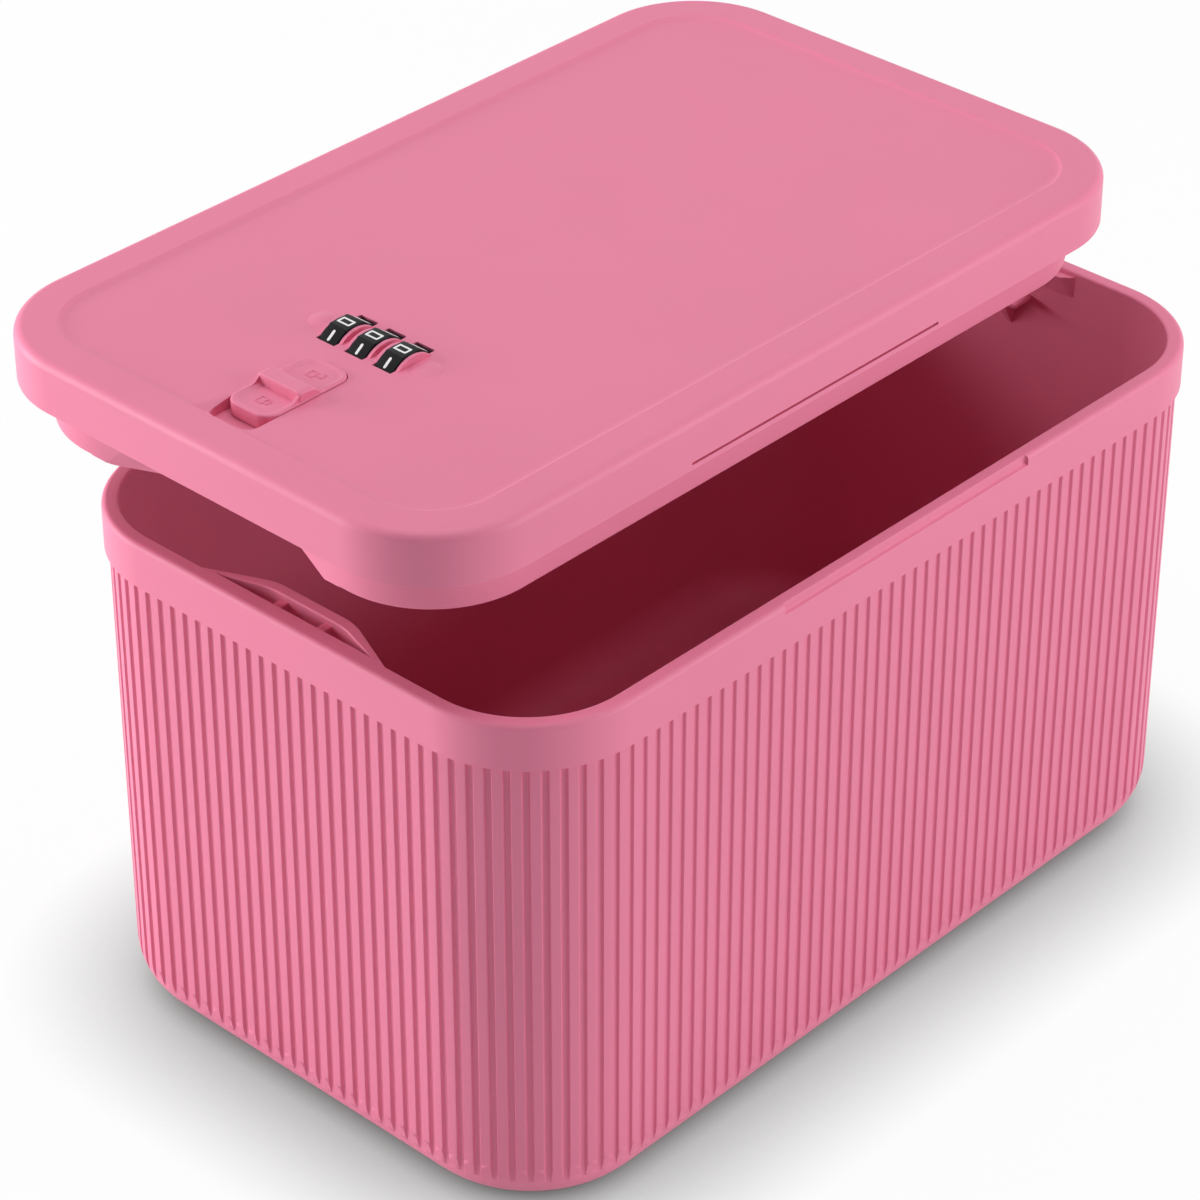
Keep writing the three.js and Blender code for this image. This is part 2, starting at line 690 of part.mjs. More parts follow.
function lockFrame() {
  const floor = block(-frameHalfWidth, frameHalfWidth, frameFrontY, frameRearY,
    frameFloorUnder, frameFloorTop);
  const walls = [-1, 1].map((side) => {
    const outer = side * frameHalfWidth;
    const inner = side * (frameHalfWidth - frameWall);
    return block(Math.min(outer, inner), Math.max(outer, inner), wheelY - wheelRadius, wheelY + wheelRadius,
      frameFloorUnder, frameTop);
  });
  const bores = axle(-frameHalfWidth - overrun, frameHalfWidth + overrun, wheelY, wheelZ,
    spindleRadius + gap);
  const ears = framePosts.map(([x, y]) => {
    const inner = Math.sign(x) * (frameHalfWidth - frameWall / 2);
    const outer = x + Math.sign(x) * framePostRadius;
    return block(Math.min(inner, outer), Math.max(inner, outer), y - framePostRadius, y + framePostRadius,
      frameEarZ - frameEarThickness, frameEarZ);
  });
  const frontStruts = [-1, 1].map((side) => {
    const outer = side * frameHalfWidth;
    const inner = side * (frameHalfWidth - frameWall);
    return block(Math.min(outer, inner), Math.max(outer, inner), framePosts[0][1] - framePostRadius,
      wheelY - wheelRadius + overrun, frameFloorUnder, frameEarZ);
  });
  const riser = block(-bridgeLength / 2, bridgeLength / 2, frameRearY - frameWall, frameRearY,
    frameFloorUnder, bridgeTop);
  const bridge = block(-bridgeLength / 2, bridgeLength / 2, frameRearY - frameWall,
    resetY + bridgeLength / 2, bridgeTop - frameWall, bridgeTop);
  const stemBore = post(0, resetY, resetRadius + gap, bridgeTop - frameWall - overrun,
    bridgeTop + overrun, roundSteps);
  const earHoles = framePosts.map(([x, y]) => post(x, y, screwHoleRadius,
    frameEarZ - frameEarThickness - overrun, frameEarZ + overrun));
  const leafHole = post(0, leafScrewY(), screwHoleRadius, frameFloorUnder - overrun,
    frameFloorTop + overrun);
  const solid = join(floor, ...walls, ...frontStruts, ...ears, riser, bridge);
  return piece('lock_frame', cut(solid, bores, stemBore, leafHole, ...earHoles), greyPlastic);
}

function leafScrewY() {
  return wheelY + wheelRadius - leafFootLength / 2;
}

// The leaf spring that clicks on the wheels' facets
function detentSpring() {
  const face = wheelY + wheelRadius + gap;
  const foot = block(-wheelPitch - leafFingerWidth / 2, wheelPitch + leafFingerWidth / 2,
    face, face + leafThickness + gap * 2, frameFloorTop + gap, frameFloorTop + gap + leafThickness);
  const fingers = wheelPlaces.map((x) => block(x - leafFingerWidth / 2, x + leafFingerWidth / 2,
    face, face + leafThickness, frameFloorTop + gap, wheelZ + leafTopAboveAxis));
  return { foot, fingers, face };
}

function detentParts() {
  const { foot, fingers, face } = detentSpring();
  const padY = face + leafThickness;
  const pad = block(-wheelPitch - leafFingerWidth / 2, wheelPitch + leafFingerWidth / 2,
    padY - leafThickness / 2, frameRearY - frameWall - gap,
    frameFloorTop + gap, frameFloorTop + gap + leafThickness);
  return piece('detent_spring', join(foot, ...fingers, pad), springSteel);
}

// Number wheels and clutch sleeves

function keyedOutline(radius, reach, width) {
  const half = width / 2;
  return Array.from({ length: wheelFacets }, (_, i) => {
    const angle = (i / wheelFacets) * Math.PI * 2 + Math.PI / 2;
    const cos = Math.cos(angle);
    const sin = Math.sin(angle);
    const along = [[radius, -half], [radius + reach, -half], [radius + reach, half], [radius, half]];
    return along.map(([u, v]) => new THREE.Vector2(u * cos - v * sin, u * sin + v * cos));
  }).flat();
}

function turnToX(geometry, x0) {
  const turn = new THREE.Matrix4().makeBasis(
    new THREE.Vector3(0, 1, 0), new THREE.Vector3(0, 0, 1), new THREE.Vector3(1, 0, 0));
  return geometry.applyMatrix4(turn).translate(x0, wheelY, wheelZ);
}

function numberWheel(name, x) {
  const rim = Array.from({ length: wheelFacets }, (_, i) => {
    const angle = ((i + 0.5) / wheelFacets) * Math.PI * 2 + Math.PI / 2;
    return new THREE.Vector2(wheelRadius * Math.cos(angle), wheelRadius * Math.sin(angle));
  });
  const shape = new THREE.Shape(rim);
  const bore = keyedOutline(sleeveRadius + gap, keywayDepth + gap, keywayWidth + gap * 2);
  shape.holes.push(new THREE.Path(bore));
  const geometry = new THREE.ExtrudeGeometry(shape, { depth: wheelWidth, bevelEnabled: false });
  return piece(name, toSolid(turnToX(geometry, x - wheelWidth / 2)), blackPlastic);
}

function clutchSleeve(name, x) {
  const left = x - wheelWidth / 2;
  const gateLeft = x + wheelWidth / 2 + gateSideGap;
  const gateRight = gateLeft + gateThickness;
  const barrel = axle(left, gateRight, wheelY, wheelZ, sleeveRadius);
  const gate = axle(gateLeft, gateRight, wheelY, wheelZ, gateRadius);
  const flat = block(gateLeft - overrun, gateRight + overrun, wheelY - gateRadius, wheelY + gateRadius,
    wheelZ - gateRadius - overrun, gateFlatZ);
  const key = block(left, x + wheelWidth / 2, wheelY - keywayWidth / 2, wheelY + keywayWidth / 2,
    wheelZ + sleeveRadius / 2, wheelZ + sleeveRadius + keywayDepth);
  const bore = axle(left - overrun, gateRight + overrun, wheelY, wheelZ, spindleRadius + gap);
  return piece(name, cut(join(barrel, cut(gate, flat), key), bore), greyPlastic);
}

function spindle() {
  const half = frameHalfWidth + gap + clipThickness + overrun;
  return piece('wheel_spindle', axle(-half, half, wheelY, wheelZ, spindleRadius), steel);
}

function spindleClip(name, side) {
  const inner = side * (frameHalfWidth + gap);
  const outer = side * (frameHalfWidth + gap + clipThickness);
  const x0 = Math.min(inner, outer);
  const x1 = Math.max(inner, outer);
  const ring = axle(x0, x1, wheelY, wheelZ, clipRadius);
  const bore = axle(x0 - overrun, x1 + overrun, wheelY, wheelZ, spindleRadius + gap);
  const mouth = block(x0 - overrun, x1 + overrun, wheelY - spindleRadius, wheelY + spindleRadius,
    wheelZ - clipRadius - overrun, wheelZ);
  return piece(name, cut(ring, bore, mouth), springSteel);
}

function spindleSpacer() {
  const right = wheelPlaces[0] - wheelWidth / 2 - gap;
  const left = -frameHalfWidth + frameWall + gap;
  const tube = axle(left, right, wheelY, wheelZ, sleeveRadius);
  const bore = axle(left - overrun, right + overrun, wheelY, wheelZ, spindleRadius + gap);
  return piece('spindle_spacer', cut(tube, bore), greyPlastic);
}

function spindleSpring() {
  const start = wheelPlaces[wheelCount - 1] + wheelWidth / 2 + gateSideGap + gateThickness + gap;
  const end = frameHalfWidth - frameWall - gap;
  const wireRoom = springWire;
  const geometry = coil(springRadius, springWire, springTurns, end - start - wireRoom);
  geometry.rotateY(Math.PI / 2).translate(start + wireRoom / 2, wheelY, wheelZ);
  return piece('spindle_spring', toSolid(geometry), springSteel);
}

// Slide button and latch

function slideButton() {
  const top = panelTop + buttonProud;
  const outline = (grow) => roundedOutline(buttonWidth / 2 + grow, buttonLength / 2 + grow,
    buttonCorner + grow, 5).map((p) => new THREE.Vector2(p.x, p.y + buttonY));
  const body = plate(outline(0), pocketFloor + gap, top);
  const dish = plate(outline(-buttonRim), top - buttonDish, top + overrun);
  const ridgeFront = buttonY - buttonRidgeLength / 2;
  const ridgeRear = buttonY + buttonRidgeLength / 2;
  const ridge = profileAlongX([
    [ridgeFront, top - buttonDish - overrun],
    [ridgeRear, top - buttonDish - overrun],
    [ridgeRear, top],
    [ridgeRear - buttonRidgeRearTaper, top + buttonRidgeHeight],
    [ridgeFront + buttonRidgeFrontTaper, top + buttonRidgeHeight],
    [ridgeFront, top],
  ], -buttonWidth / 2, buttonWidth / 2);
  const stem = block(-stemWidth / 2, stemWidth / 2, buttonY - stemLength / 2, buttonY + stemLength / 2,
    latchTop + gap, pocketFloor + gap + overrun);
  const screwHole = post(0, buttonY, screwHoleRadius, latchTop, pocketFloor + overrun);
  return piece('slide_button', cut(join(cut(body, dish), ridge, stem), screwHole), pinkPlastic);
}

function latch() {
  const plateUnder = latchTop - latchPlate;
  const legFront = latchLegY;
  const legRear = latchLegY + latchLegThickness;
  const topPlate = block(-latchPlateWidth / 2, latchPlateWidth / 2, legFront,
    buttonY + stemLength / 2 + overrun, plateUnder, latchTop);
  const leg = block(-latchWidth / 2, latchWidth / 2, legFront, legRear, latchHookBottom, latchTop);
  const hook = block(-latchWidth / 2, latchWidth / 2, latchTipY, legRear, latchHookBottom, latchHookTop);
  const combRoot = block(-wheelPitch - wheelPitch, wheelPitch + wheelPitch, legFront,
    wheelY - wheelRadius - latchPlate, combTop - combDepth, combTop);
  const toothRear = wheelY + halfChord() + gap + toothLength;
  const teeth = wheelPlaces.flatMap((x) => {
    const middle = x + wheelWidth / 2 + gateSideGap + gateThickness / 2;
    const x0 = middle - combWidth / 2;
    const x1 = middle + combWidth / 2;
    return [
      block(x0, x1, wheelY - wheelRadius - latchPlate - overrun, toothRear, combTop - combDepth, combTop),
      block(x0, x1, toothRear - toothLength, toothRear, combTop - overrun, combTop + gap + toothHeight),
    ];
  });
  const screwHole = post(0, buttonY, screwHoleRadius, plateUnder - overrun, latchTop + overrun);
  return piece('latch', cut(join(topPlate, leg, hook, combRoot, ...teeth), screwHole), greyPlastic);
}

// Half the length of the gate disc's edge at the height that the teeth pass.
function halfChord() {
  const height = gateRadius - toothHeight;
  return Math.sqrt(gateRadius * gateRadius - height * height);
}

function latchScrew() {
  const headUnder = latchTop - latchPlate - gap - screwHeadThickness;
  return screw('latch_screw', 0, buttonY, headUnder, pocketFloor - latchTop + latchPlate);
}

// Reset button, pressed from under the lid, and its spring

function resetButton() {
  const flangeUnder = linerPlateTop + gap;
  const stem = post(0, resetY, resetRadius, -skirtDepth - resetProud, bridgeTop + gap, roundSteps);
  const flange = post(0, resetY, resetFlangeRadius, flangeUnder,
    flangeUnder + resetFlangeThickness, roundSteps);
  return piece('reset_button', join(stem, flange), blackPlastic);
}

function resetSpring() {
  const bottom = linerPlateTop + gap + resetFlangeThickness + gap;
  const top = bridgeTop - frameWall - gap;
  const geometry = coil(resetSpringRadius, springWire, resetSpringTurns, top - bottom - springWire);
  geometry.translate(0, resetY, bottom + springWire / 2);
  return piece('reset_spring', toSolid(geometry), springSteel);
}

// Assembly

const lid = new THREE.Group();
lid.position.set(lidLiftX, lidLiftY, tubHeight + gap + lidLiftZ);
lid.add(
  lidShell(), lidLiner(), ...linerScrews(), lockFrame(), ...frameScrews(), detentParts(),
  spindle(), spindleClip('spindle_clip_left', -1), spindleClip('spindle_clip_right', 1),
  spindleSpacer(), spindleSpring(),
  ...['left', 'middle', 'right'].flatMap((place, i) => [
    numberWheel(`number_wheel_${place}`, wheelPlaces[i]),
    clutchSleeve(`clutch_sleeve_${place}`, wheelPlaces[i]),
  ]),
  slideButton(), latch(), latchScrew(), resetButton(), resetSpring(),
);

const lockBox = new THREE.Group();
lockBox.add(tub(), lid);

export default lockBox;
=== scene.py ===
"""Medication lock box: a fluted tub and a lift-off lid with a three-wheel combination lock.

Everything is in metres, +Z up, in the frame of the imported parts: the lock end faces -Y.
"""

import math

import bmesh
import bpy
from bpy.props import FloatProperty, FloatVectorProperty, IntProperty, PointerProperty
from bpy.types import Operator, Panel, PropertyGroup
from mathutils import Matrix, Vector


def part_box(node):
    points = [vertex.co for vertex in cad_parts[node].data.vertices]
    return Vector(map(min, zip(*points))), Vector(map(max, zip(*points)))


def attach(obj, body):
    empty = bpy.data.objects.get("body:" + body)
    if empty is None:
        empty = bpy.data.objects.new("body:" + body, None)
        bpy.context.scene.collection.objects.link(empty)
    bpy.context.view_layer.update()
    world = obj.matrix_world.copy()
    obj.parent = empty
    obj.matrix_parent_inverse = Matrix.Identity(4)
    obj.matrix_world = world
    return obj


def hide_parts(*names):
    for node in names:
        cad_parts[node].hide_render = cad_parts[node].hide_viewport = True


bl_info = {
    "name": "Medication Lock Box",
    "version": (1, 0, 0),
    "blender": (4, 5, 0),
    "location": "View3D > Sidebar > Lock Box",
    "description": "Builds a fluted tub with a lift-off combination lock lid",
    "category": "Add Mesh",
}

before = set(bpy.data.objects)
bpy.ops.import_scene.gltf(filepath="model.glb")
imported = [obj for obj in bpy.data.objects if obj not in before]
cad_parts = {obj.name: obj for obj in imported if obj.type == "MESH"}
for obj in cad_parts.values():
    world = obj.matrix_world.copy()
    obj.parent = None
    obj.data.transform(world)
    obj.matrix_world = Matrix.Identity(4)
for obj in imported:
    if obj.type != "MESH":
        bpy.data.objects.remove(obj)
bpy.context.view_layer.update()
TUB_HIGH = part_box("tub")[1]
LID_LOW, LID_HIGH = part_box("lid_shell")
BUTTON_LOW, BUTTON_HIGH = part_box("slide_button")
WHEELS = ("left", "middle", "right")
LINER_SCREWS = ["liner_screw_" + str(i + 1) for i in range(6)]
FRAME_SCREWS = ["frame_screw_" + str(i + 1) for i in range(4)]

# Places closer than NEAR are one place, and places further apart than APART are two.
NEAR, APART = 1e-5, 1e-4
# How far a cutting piece stands out of the face that it cuts.
PAST = 0.001


def length(label, about, default):
    return FloatProperty(name=label, description=about, default=default, min=0.0,
                         precision=5, unit="LENGTH", subtype="DISTANCE")


def colour(label, about, default):
    return FloatVectorProperty(name=label, description=about, default=default, size=3,
                               min=0.0, max=1.0, subtype="COLOR")


def number(label, about, default):
    return FloatProperty(name=label, description=about, default=default)


class TubSizes(PropertyGroup):
    corner: length("Band corner", "Corner radius of the plain rim band", 0.0395)
    band_height: length("Band height", "Height of the plain band under the rim", 0.015)
    rim_width: length("Rim width", "Width of the rim seen from above", 0.0054)
    outer_round: length("Outer rim round", "Rounding of the rim's outer edge", 0.0018)
    inner_round: length("Inner rim round", "Rounding of the rim's inner edge", 0.0008)
    wall_recess: length("Wall recess", "How far the wall stands back from the band", 0.0001)
    wall_corner_growth: length("Wall corner growth", "How much rounder the wall is", 0.0032)
    bottom_round: length("Bottom round", "Rounding of the wall's foot", 0.018)
    floor: length("Floor", "Thickness of the tub's floor", 0.0035)
    wall_draft: length("Wall draft", "How much the inside narrows to the floor", 0.0005)
    groove_count: IntProperty(name="Grooves", description="Number of grooves round the wall",
                              default=180, min=4)
    groove_width: length("Groove width", "Width of a groove at the wall's face", 0.0025)
    groove_depth: length("Groove depth", "Depth of a groove", 0.0009)
    groove_top_gap: length("Groove top gap", "Plain strip under the band", 0.0003)
    grip_length: length("Grip length", "Length of the finger grips", 0.112)
    grip_height: length("Grip height", "Height of the finger grips", 0.0032)
    grip_depth: length("Grip depth", "Depth of the finger grips", 0.0014)
    keeper_root: length("Keeper root", "Half the keeper loop's width at the rim", 0.0385)
    keeper_nose: length("Keeper nose", "Half the keeper loop's width at its nose", 0.016)
    keeper_reach: length("Keeper reach", "How far the keeper loop reaches in", 0.010)
    keeper_thickness: length("Keeper thickness", "Height of the keeper loop", 0.005)
    keeper_bar: length("Keeper bar", "Width of the keeper loop's bar", 0.0043)
    keeper_slot: length("Keeper slot", "Half the length of the loop's slot", 0.0315)
    catch_half: length("Catch half width", "Half the width of the rear catch", 0.041)
    catch_drop: length("Catch drop", "Depth of the rear catch under the rim", 0.0018)
    catch_height: length("Catch height", "Height of the rear catch", 0.0074)
    catch_reach: length("Catch reach", "How far the rear catch reaches in", 0.0034)
    shelf_place: length("Shelf place", "Distance of a rear shelf from the middle", 0.016)
    shelf_width: length("Shelf width", "Width of a rear shelf", 0.016)
    shelf_drop: length("Shelf drop", "Depth of a rear shelf under the rim", 0.0146)
    shelf_reach: length("Shelf reach", "How far a rear shelf reaches in", 0.009)


class LidSizes(PropertyGroup):
    corner: length("Lid corner", "Corner radius of the lid", 0.0357)
    height: length("Flange height", "Height of the lid's outer flange", 0.017)
    edge_round: length("Edge round", "Rounding of the lid's top edge", 0.003)
    wall: length("Lid wall", "Thickness of the lid's wall", 0.0024)
    border: length("Border", "Width of the raised border", 0.013)
    ramp: length("Ramp", "Width of the ramp down to the panel", 0.0035)
    panel_drop: length("Panel drop", "Depth of the panel under the border", 0.001)
    slit_length: length("Slit length", "Length of the slits in the long sides", 0.109)
    slit_height: length("Slit height", "Height of the slits", 0.0009)
    slit_depth: length("Slit depth", "Depth of the slits", 0.0014)
    slit_place: length("Slit place", "Height of the slits over the flange's foot", 0.002)
    lift: length("Lift", "Height of the flange's foot over the tub's rim", 0.0433)
    skirt_depth: length("Skirt depth", "Depth of the skirt under the flange", 0.014)
    skirt_corner: length("Skirt corner", "Corner radius of the skirt", 0.0341)
    skirt_gap_top: length("Skirt's top gap", "Room between skirt and tub", 0.0045)
    skirt_gap_bottom: length("Skirt's foot gap", "Room between skirt and tub", 0.0063)
    skirt_wall: length("Skirt wall", "Thickness of the liner's wall", 0.0022)


class LockSizes(PropertyGroup):
    wheel_radius: length("Wheel radius", "Radius over a wheel's corners", 0.011)
    wheel_width: length("Wheel width", "Width of a number wheel", 0.0067)
    slot_gap: length("Slot gap", "Room round a wheel in the lid", 0.0006)
    slot_side_gap: length("Slot side gap", "Room beside a wheel in the lid", 0.0004)
    collar_drop: length("Collar drop", "Depth of a collar under a wheel's corners", 0.0009)
    collar: length("Collar", "Thickness of the arched collar beside a wheel", 0.0011)
    slot_rear: length("Slot rear", "Reach of the recess behind a wheel's slot", 0.0094)
    digit_width: length("Digit width", "Width of a digit", 0.0050)
    digit_height: length("Digit height", "Height of a digit", 0.0032)
    digit_stroke: length("Digit stroke", "Width of a digit's stroke", 0.00070)
    button_width: length("Button width", "Width of the slide button", 0.018)
    button_length: length("Button length", "Length of the slide button", 0.034)
    button_corner: length("Button corner", "Corner radius of the slide button", 0.005)
    button_proud: length("Button proud", "Height of the button over the panel", 0.0009)
    travel: length("Travel", "How far the slide button moves", 0.008)
    pocket_depth: length("Pocket depth", "Depth of the button's pocket", 0.004)
    piece_gap: length("Piece gap", "Room between moving pieces", 0.0003)
    flare_width: length("Flare width", "Width of the slope beside the pocket", 0.0062)
    flare_length: length("Flare length", "Length of the slope beside the pocket", 0.0225)
    flare_depth: length("Flare depth", "Depth of the slope at its front", 0.002)
    shoulder_place: length("Shoulder place", "Way from an outer wheel to its dome", 0.0093)
    shoulder_radius: length("Shoulder radius", "Radius of a dome's sphere", 0.0143)
    shoulder_height: length("Shoulder height", "Height of a dome over the panel", 0.0009)


class Finishes(PropertyGroup):
    pink: colour("Pink plastic", "Colour of the tub and the lid", (0.820, 0.228, 0.358))
    inner_pink: colour("Inner pink", "Colour of the lid's liner", (0.790, 0.212, 0.335))
    black: colour("Black plastic", "Colour of the wheels", (0.006, 0.006, 0.007))
    grey: colour("Grey plastic", "Colour of the lock's pieces", (0.235, 0.255, 0.275))
    white: colour("White ink", "Colour of the digits", (0.88, 0.88, 0.87))
    steel: colour("Steel", "Colour of the screws and the spindle", (0.60, 0.61, 0.62))
    spring: colour("Spring steel", "Colour of the springs", (0.42, 0.43, 0.45))
    floor: colour("Floor", "Colour of the floor", (0.93, 0.93, 0.93))


class StageSettings(PropertyGroup):
    azimuth: number("Azimuth", "Camera's turn from the lock end, in degrees", 42.92)
    elevation: number("Elevation", "Camera's height, in degrees", 33.40)
    distance: length("Distance", "Distance from the camera to its target", 1.387)
    target: FloatVectorProperty(name="Target", description="Where the camera looks", size=3,
                                default=(-0.0292, 0.0049, 0.0930), unit="LENGTH",
                                subtype="XYZ")
    focal_pixels: number("Focal length", "In pixels of a 1200 pixel wide frame", 4300.0)
    fill: number("Fill", "Strength of the surrounding light", 0.17)
    # The seen floor glows: this share of it is the glow that ambient occlusion darkens near the
    # object, a painted shade; the rest is the floor's lit colour.
    painted_shade_share: FloatProperty(name="Floor lift", default=0.94, min=0.0, max=1.0,
                              description="Share of plain white in the seen floor",
                              subtype="FACTOR")
    # The reach of the painted shade: how far the ambient occlusion darkens the floor's glow.
    shade_reach: length("Shade reach", "How far the shade reaches over the floor", 0.047)
    left_power: number("Left lamp", "Power of the left soft box", 22.0)
    right_power: number("Right lamp", "Power of the right soft box", 12.0)
    top_power: number("Top lamp", "Power of the top soft box", 16.5)


def tub_sizes():
    return bpy.context.scene.lock_box_tub


def lid_sizes():
    return bpy.context.scene.lock_box_lid


def lock_sizes():
    return bpy.context.scene.lock_box_lock


def finishes():
    return bpy.context.scene.lock_box_finishes


# Modelling by hand, step by step


def deselect():
    if bpy.context.object is not None and bpy.context.object.mode != "OBJECT":
        bpy.ops.object.mode_set(mode="OBJECT")
    bpy.ops.object.select_all(action="DESELECT")


def activate(piece):
    deselect()
    piece.select_set(True)
    bpy.context.view_layer.objects.active = piece


def edit(piece, kind="EDGE"):
    activate(piece)
    bpy.ops.object.mode_set(mode="EDIT")
    bpy.ops.mesh.select_mode(type=kind)


def done(piece):
    bpy.ops.object.mode_set(mode="OBJECT")
    return piece


def pick(kind, test):
    """Selects the vertices, edges or faces of the edited piece that pass the test."""
    bpy.ops.mesh.select_all(action="DESELECT")
    mesh = bmesh.from_edit_mesh(bpy.context.object.data)
    for part in getattr(mesh, kind):
        part.select_set(bool(test(part)))
    bmesh.update_edit_mesh(bpy.context.object.data)


def pick_all():
    bpy.ops.mesh.select_all(action="SELECT")


def every(edge, test):
    return all(test(v.co) for v in edge.verts)


def some(edge, test):
    return any(test(v.co) for v in edge.verts)


def upright(edge):
    return abs(edge.verts[0].co.z - edge.verts[1].co.z) > APART


def at_height(z):
    return lambda edge: every(edge, lambda place: abs(place.z - z) < NEAR)


def move(x=0.0, y=0.0, z=0.0):
    bpy.ops.transform.translate(value=(x, y, z))


def stretch(x=1.0, y=1.0, z=1.0):
    bpy.ops.transform.resize(value=(x, y, z))


def face_out():
    pick_all()
    bpy.ops.mesh.normals_make_consistent(inside=False)


def apply_place(piece):
    activate(piece)
    bpy.ops.object.transform_apply(location=True, rotation=True, scale=True)
    return piece


def added(name):
    """The object just added, named, with its place and size moved into its mesh."""
    piece = bpy.context.object
    piece.name = name
    return apply_place(piece)


def shift(piece, way):
    activate(piece)
    bpy.ops.transform.translate(value=way)
    return apply_place(piece)


def turn(piece, angle, axis):
    piece.matrix_world = Matrix.Rotation(angle, 4, axis)
    return apply_place(piece)


def twin(piece):
    """A copy of a piece with a mesh of its own."""
    made = piece.copy()
    made.data = piece.data.copy()
    bpy.context.scene.collection.objects.link(made)
    return made


def join(first, *others):
    activate(first)
    for other in others:
        other.select_set(True)
    bpy.ops.object.join()
    return first


def combine(piece, tool, operation):
    activate(piece)
    bpy.ops.object.modifier_add(type="BOOLEAN")
    modifier = piece.modifiers[-1]
    modifier.operation = operation
    modifier.solver = "EXACT"
    modifier.object = tool
    bpy.ops.object.modifier_apply(modifier=modifier.name)
    bpy.data.objects.remove(tool)
    return piece


def cut(piece, *tools):
    for tool in tools:
        combine(piece, tool, "DIFFERENCE")
    return piece


def add(piece, *others):
    for other in others:
        combine(piece, other, "UNION")
    return piece


def soften(piece, width, segments=2, angle=30.0):
    """Rounds the piece's sharp edges."""
    activate(piece)
    bpy.ops.object.modifier_add(type="BEVEL")
    modifier = piece.modifiers[-1]
    modifier.width = width
    modifier.segments = segments
    modifier.limit_method = "ANGLE"
    modifier.angle_limit = math.radians(angle)
    modifier.harden_normals = False
    modifier.miter_outer = "MITER_ARC"
    bpy.ops.object.modifier_apply(modifier=modifier.name)
    return piece


def round_edges(piece, test, radius, segments):
    """Rounds the edges that pass the test."""
    edit(piece, "EDGE")
    pick("edges", test)
    bpy.ops.mesh.bevel(offset=radius, segments=segments, affect="EDGES", clamp_overlap=False)
    return done(piece)


def smooth(piece, angle):
    activate(piece)
    bpy.ops.object.shade_smooth_by_angle(angle=math.radians(angle))


def ring(half_x, half_y, radius, z):
    """A rounded rectangle of edges, lying flat at a height."""
    deselect()
    bpy.ops.mesh.primitive_plane_add(size=2.0, location=(0.0, 0.0, z))
    stretch(half_x, half_y)
    piece = added("ring")
    edit(piece, "VERT")
    pick_all()
    bpy.ops.mesh.bevel(offset=radius, segments=24, affect="VERTICES", clamp_overlap=False)
    pick_all()
    bpy.ops.mesh.delete(type="ONLY_FACE")
    return done(piece)


def inset_of(place, half_x, half_y, radius):
    """How far inside a rounded rectangle a place lies."""
    past_x = abs(place.x) - (half_x - radius)
    past_y = abs(place.y) - (half_y - radius)
    if past_x > 0 and past_y > 0:
        return radius - math.hypot(past_x, past_y)
    return min(half_x - abs(place.x), half_y - abs(place.y))


def on_outline(half_x, half_y, radius, z):
    """Whether an edge lies on a rounded rectangle's outline at a height."""
    slack = 2 * NEAR
    return lambda edge: every(edge, lambda place: abs(place.z - z) < slack
                              and abs(inset_of(place, half_x, half_y, radius)) < slack)


def skin(name, levels):
    """A closed skin through rounded rectangles (half x, half y, corner radius, height), in turn.

    The rounded rectangles are bridged in a tall stack and then moved to their own heights.
    """
    step = 0.5
    piece = join(*[ring(*level[:3], (i + 1) * step) for i, level in enumerate(levels)])
    piece.name = name
    edit(piece, "EDGE")
    for i in range(1, len(levels)):
        pick("edges", lambda edge: at_height(i * step)(edge) or at_height((i + 1) * step)(edge))
        bpy.ops.mesh.bridge_edge_loops()
    for i in (1, len(levels)):
        pick("edges", at_height(i * step))
        bpy.ops.mesh.edge_face_add()
    bpy.ops.mesh.select_mode(type="VERT")
    for i, level in enumerate(levels, 1):
        pick("verts", lambda v: abs(v.co.z - i * step) < NEAR)
        move(z=level[3] - i * step)
    face_out()
    return done(piece)


def block(name, low, high):
    """A cuboid between two corners."""
    deselect()
    middle = [(a + b) / 2 for a, b in zip(low, high)]
    bpy.ops.mesh.primitive_cube_add(size=1.0, location=middle)
    stretch(*[b - a for a, b in zip(low, high)])
    return added(name)


def drum(name, radius, x0, x1, y, z, sides):
    """A cylinder that lies along X."""
    deselect()
    bpy.ops.mesh.primitive_cylinder_add(
        vertices=sides, radius=radius, depth=x1 - x0, location=((x0 + x1) / 2, y, z),
        rotation=(0.0, math.pi / 2, 0.0))
    return added(name)


def peg(name, radius, x, y, z0, z1):
    """An upright cylinder."""
    deselect()
    bpy.ops.mesh.primitive_cylinder_add(vertices=32, radius=radius, depth=z1 - z0,
                                        location=(x, y, (z0 + z1) / 2))
    return added(name)


def outline_prism(name, points, z0, z1):
    """An outline drawn by extruding a corner from point to point, filled and pulled up."""
    deselect()
    bpy.ops.mesh.primitive_plane_add(size=0.001, location=(0.0, 0.0, 0.0))
    piece = bpy.context.object
    piece.name = name
    edit(piece, "VERT")
    pick("verts", lambda v: v.index > 0)
    bpy.ops.mesh.delete(type="VERT")
    pick_all()
    mesh = bmesh.from_edit_mesh(piece.data)
    mesh.verts.ensure_lookup_table()
    start = Vector((*points[0], z0))
    bpy.ops.transform.translate(value=start - mesh.verts[0].co)
    for a, b in zip(points, points[1:]):
        bpy.ops.mesh.extrude_vertices_move(
            TRANSFORM_OT_translate={"value": (b[0] - a[0], b[1] - a[1], 0.0)})
    pick_all()
    bpy.ops.mesh.edge_face_add()
    pick_all()
    bpy.ops.mesh.extrude_region_move(TRANSFORM_OT_translate={"value": (0.0, 0.0, z1 - z0)})
    face_out()
    return done(piece)


def trapezoid(name, near, near_half, far, far_half, z0, z1):
    """An upright prism between two places along Y, with half its width at each."""
    return outline_prism(name, [(-near_half, near), (near_half, near),
                                (far_half, far), (-far_half, far)], z0, z1)


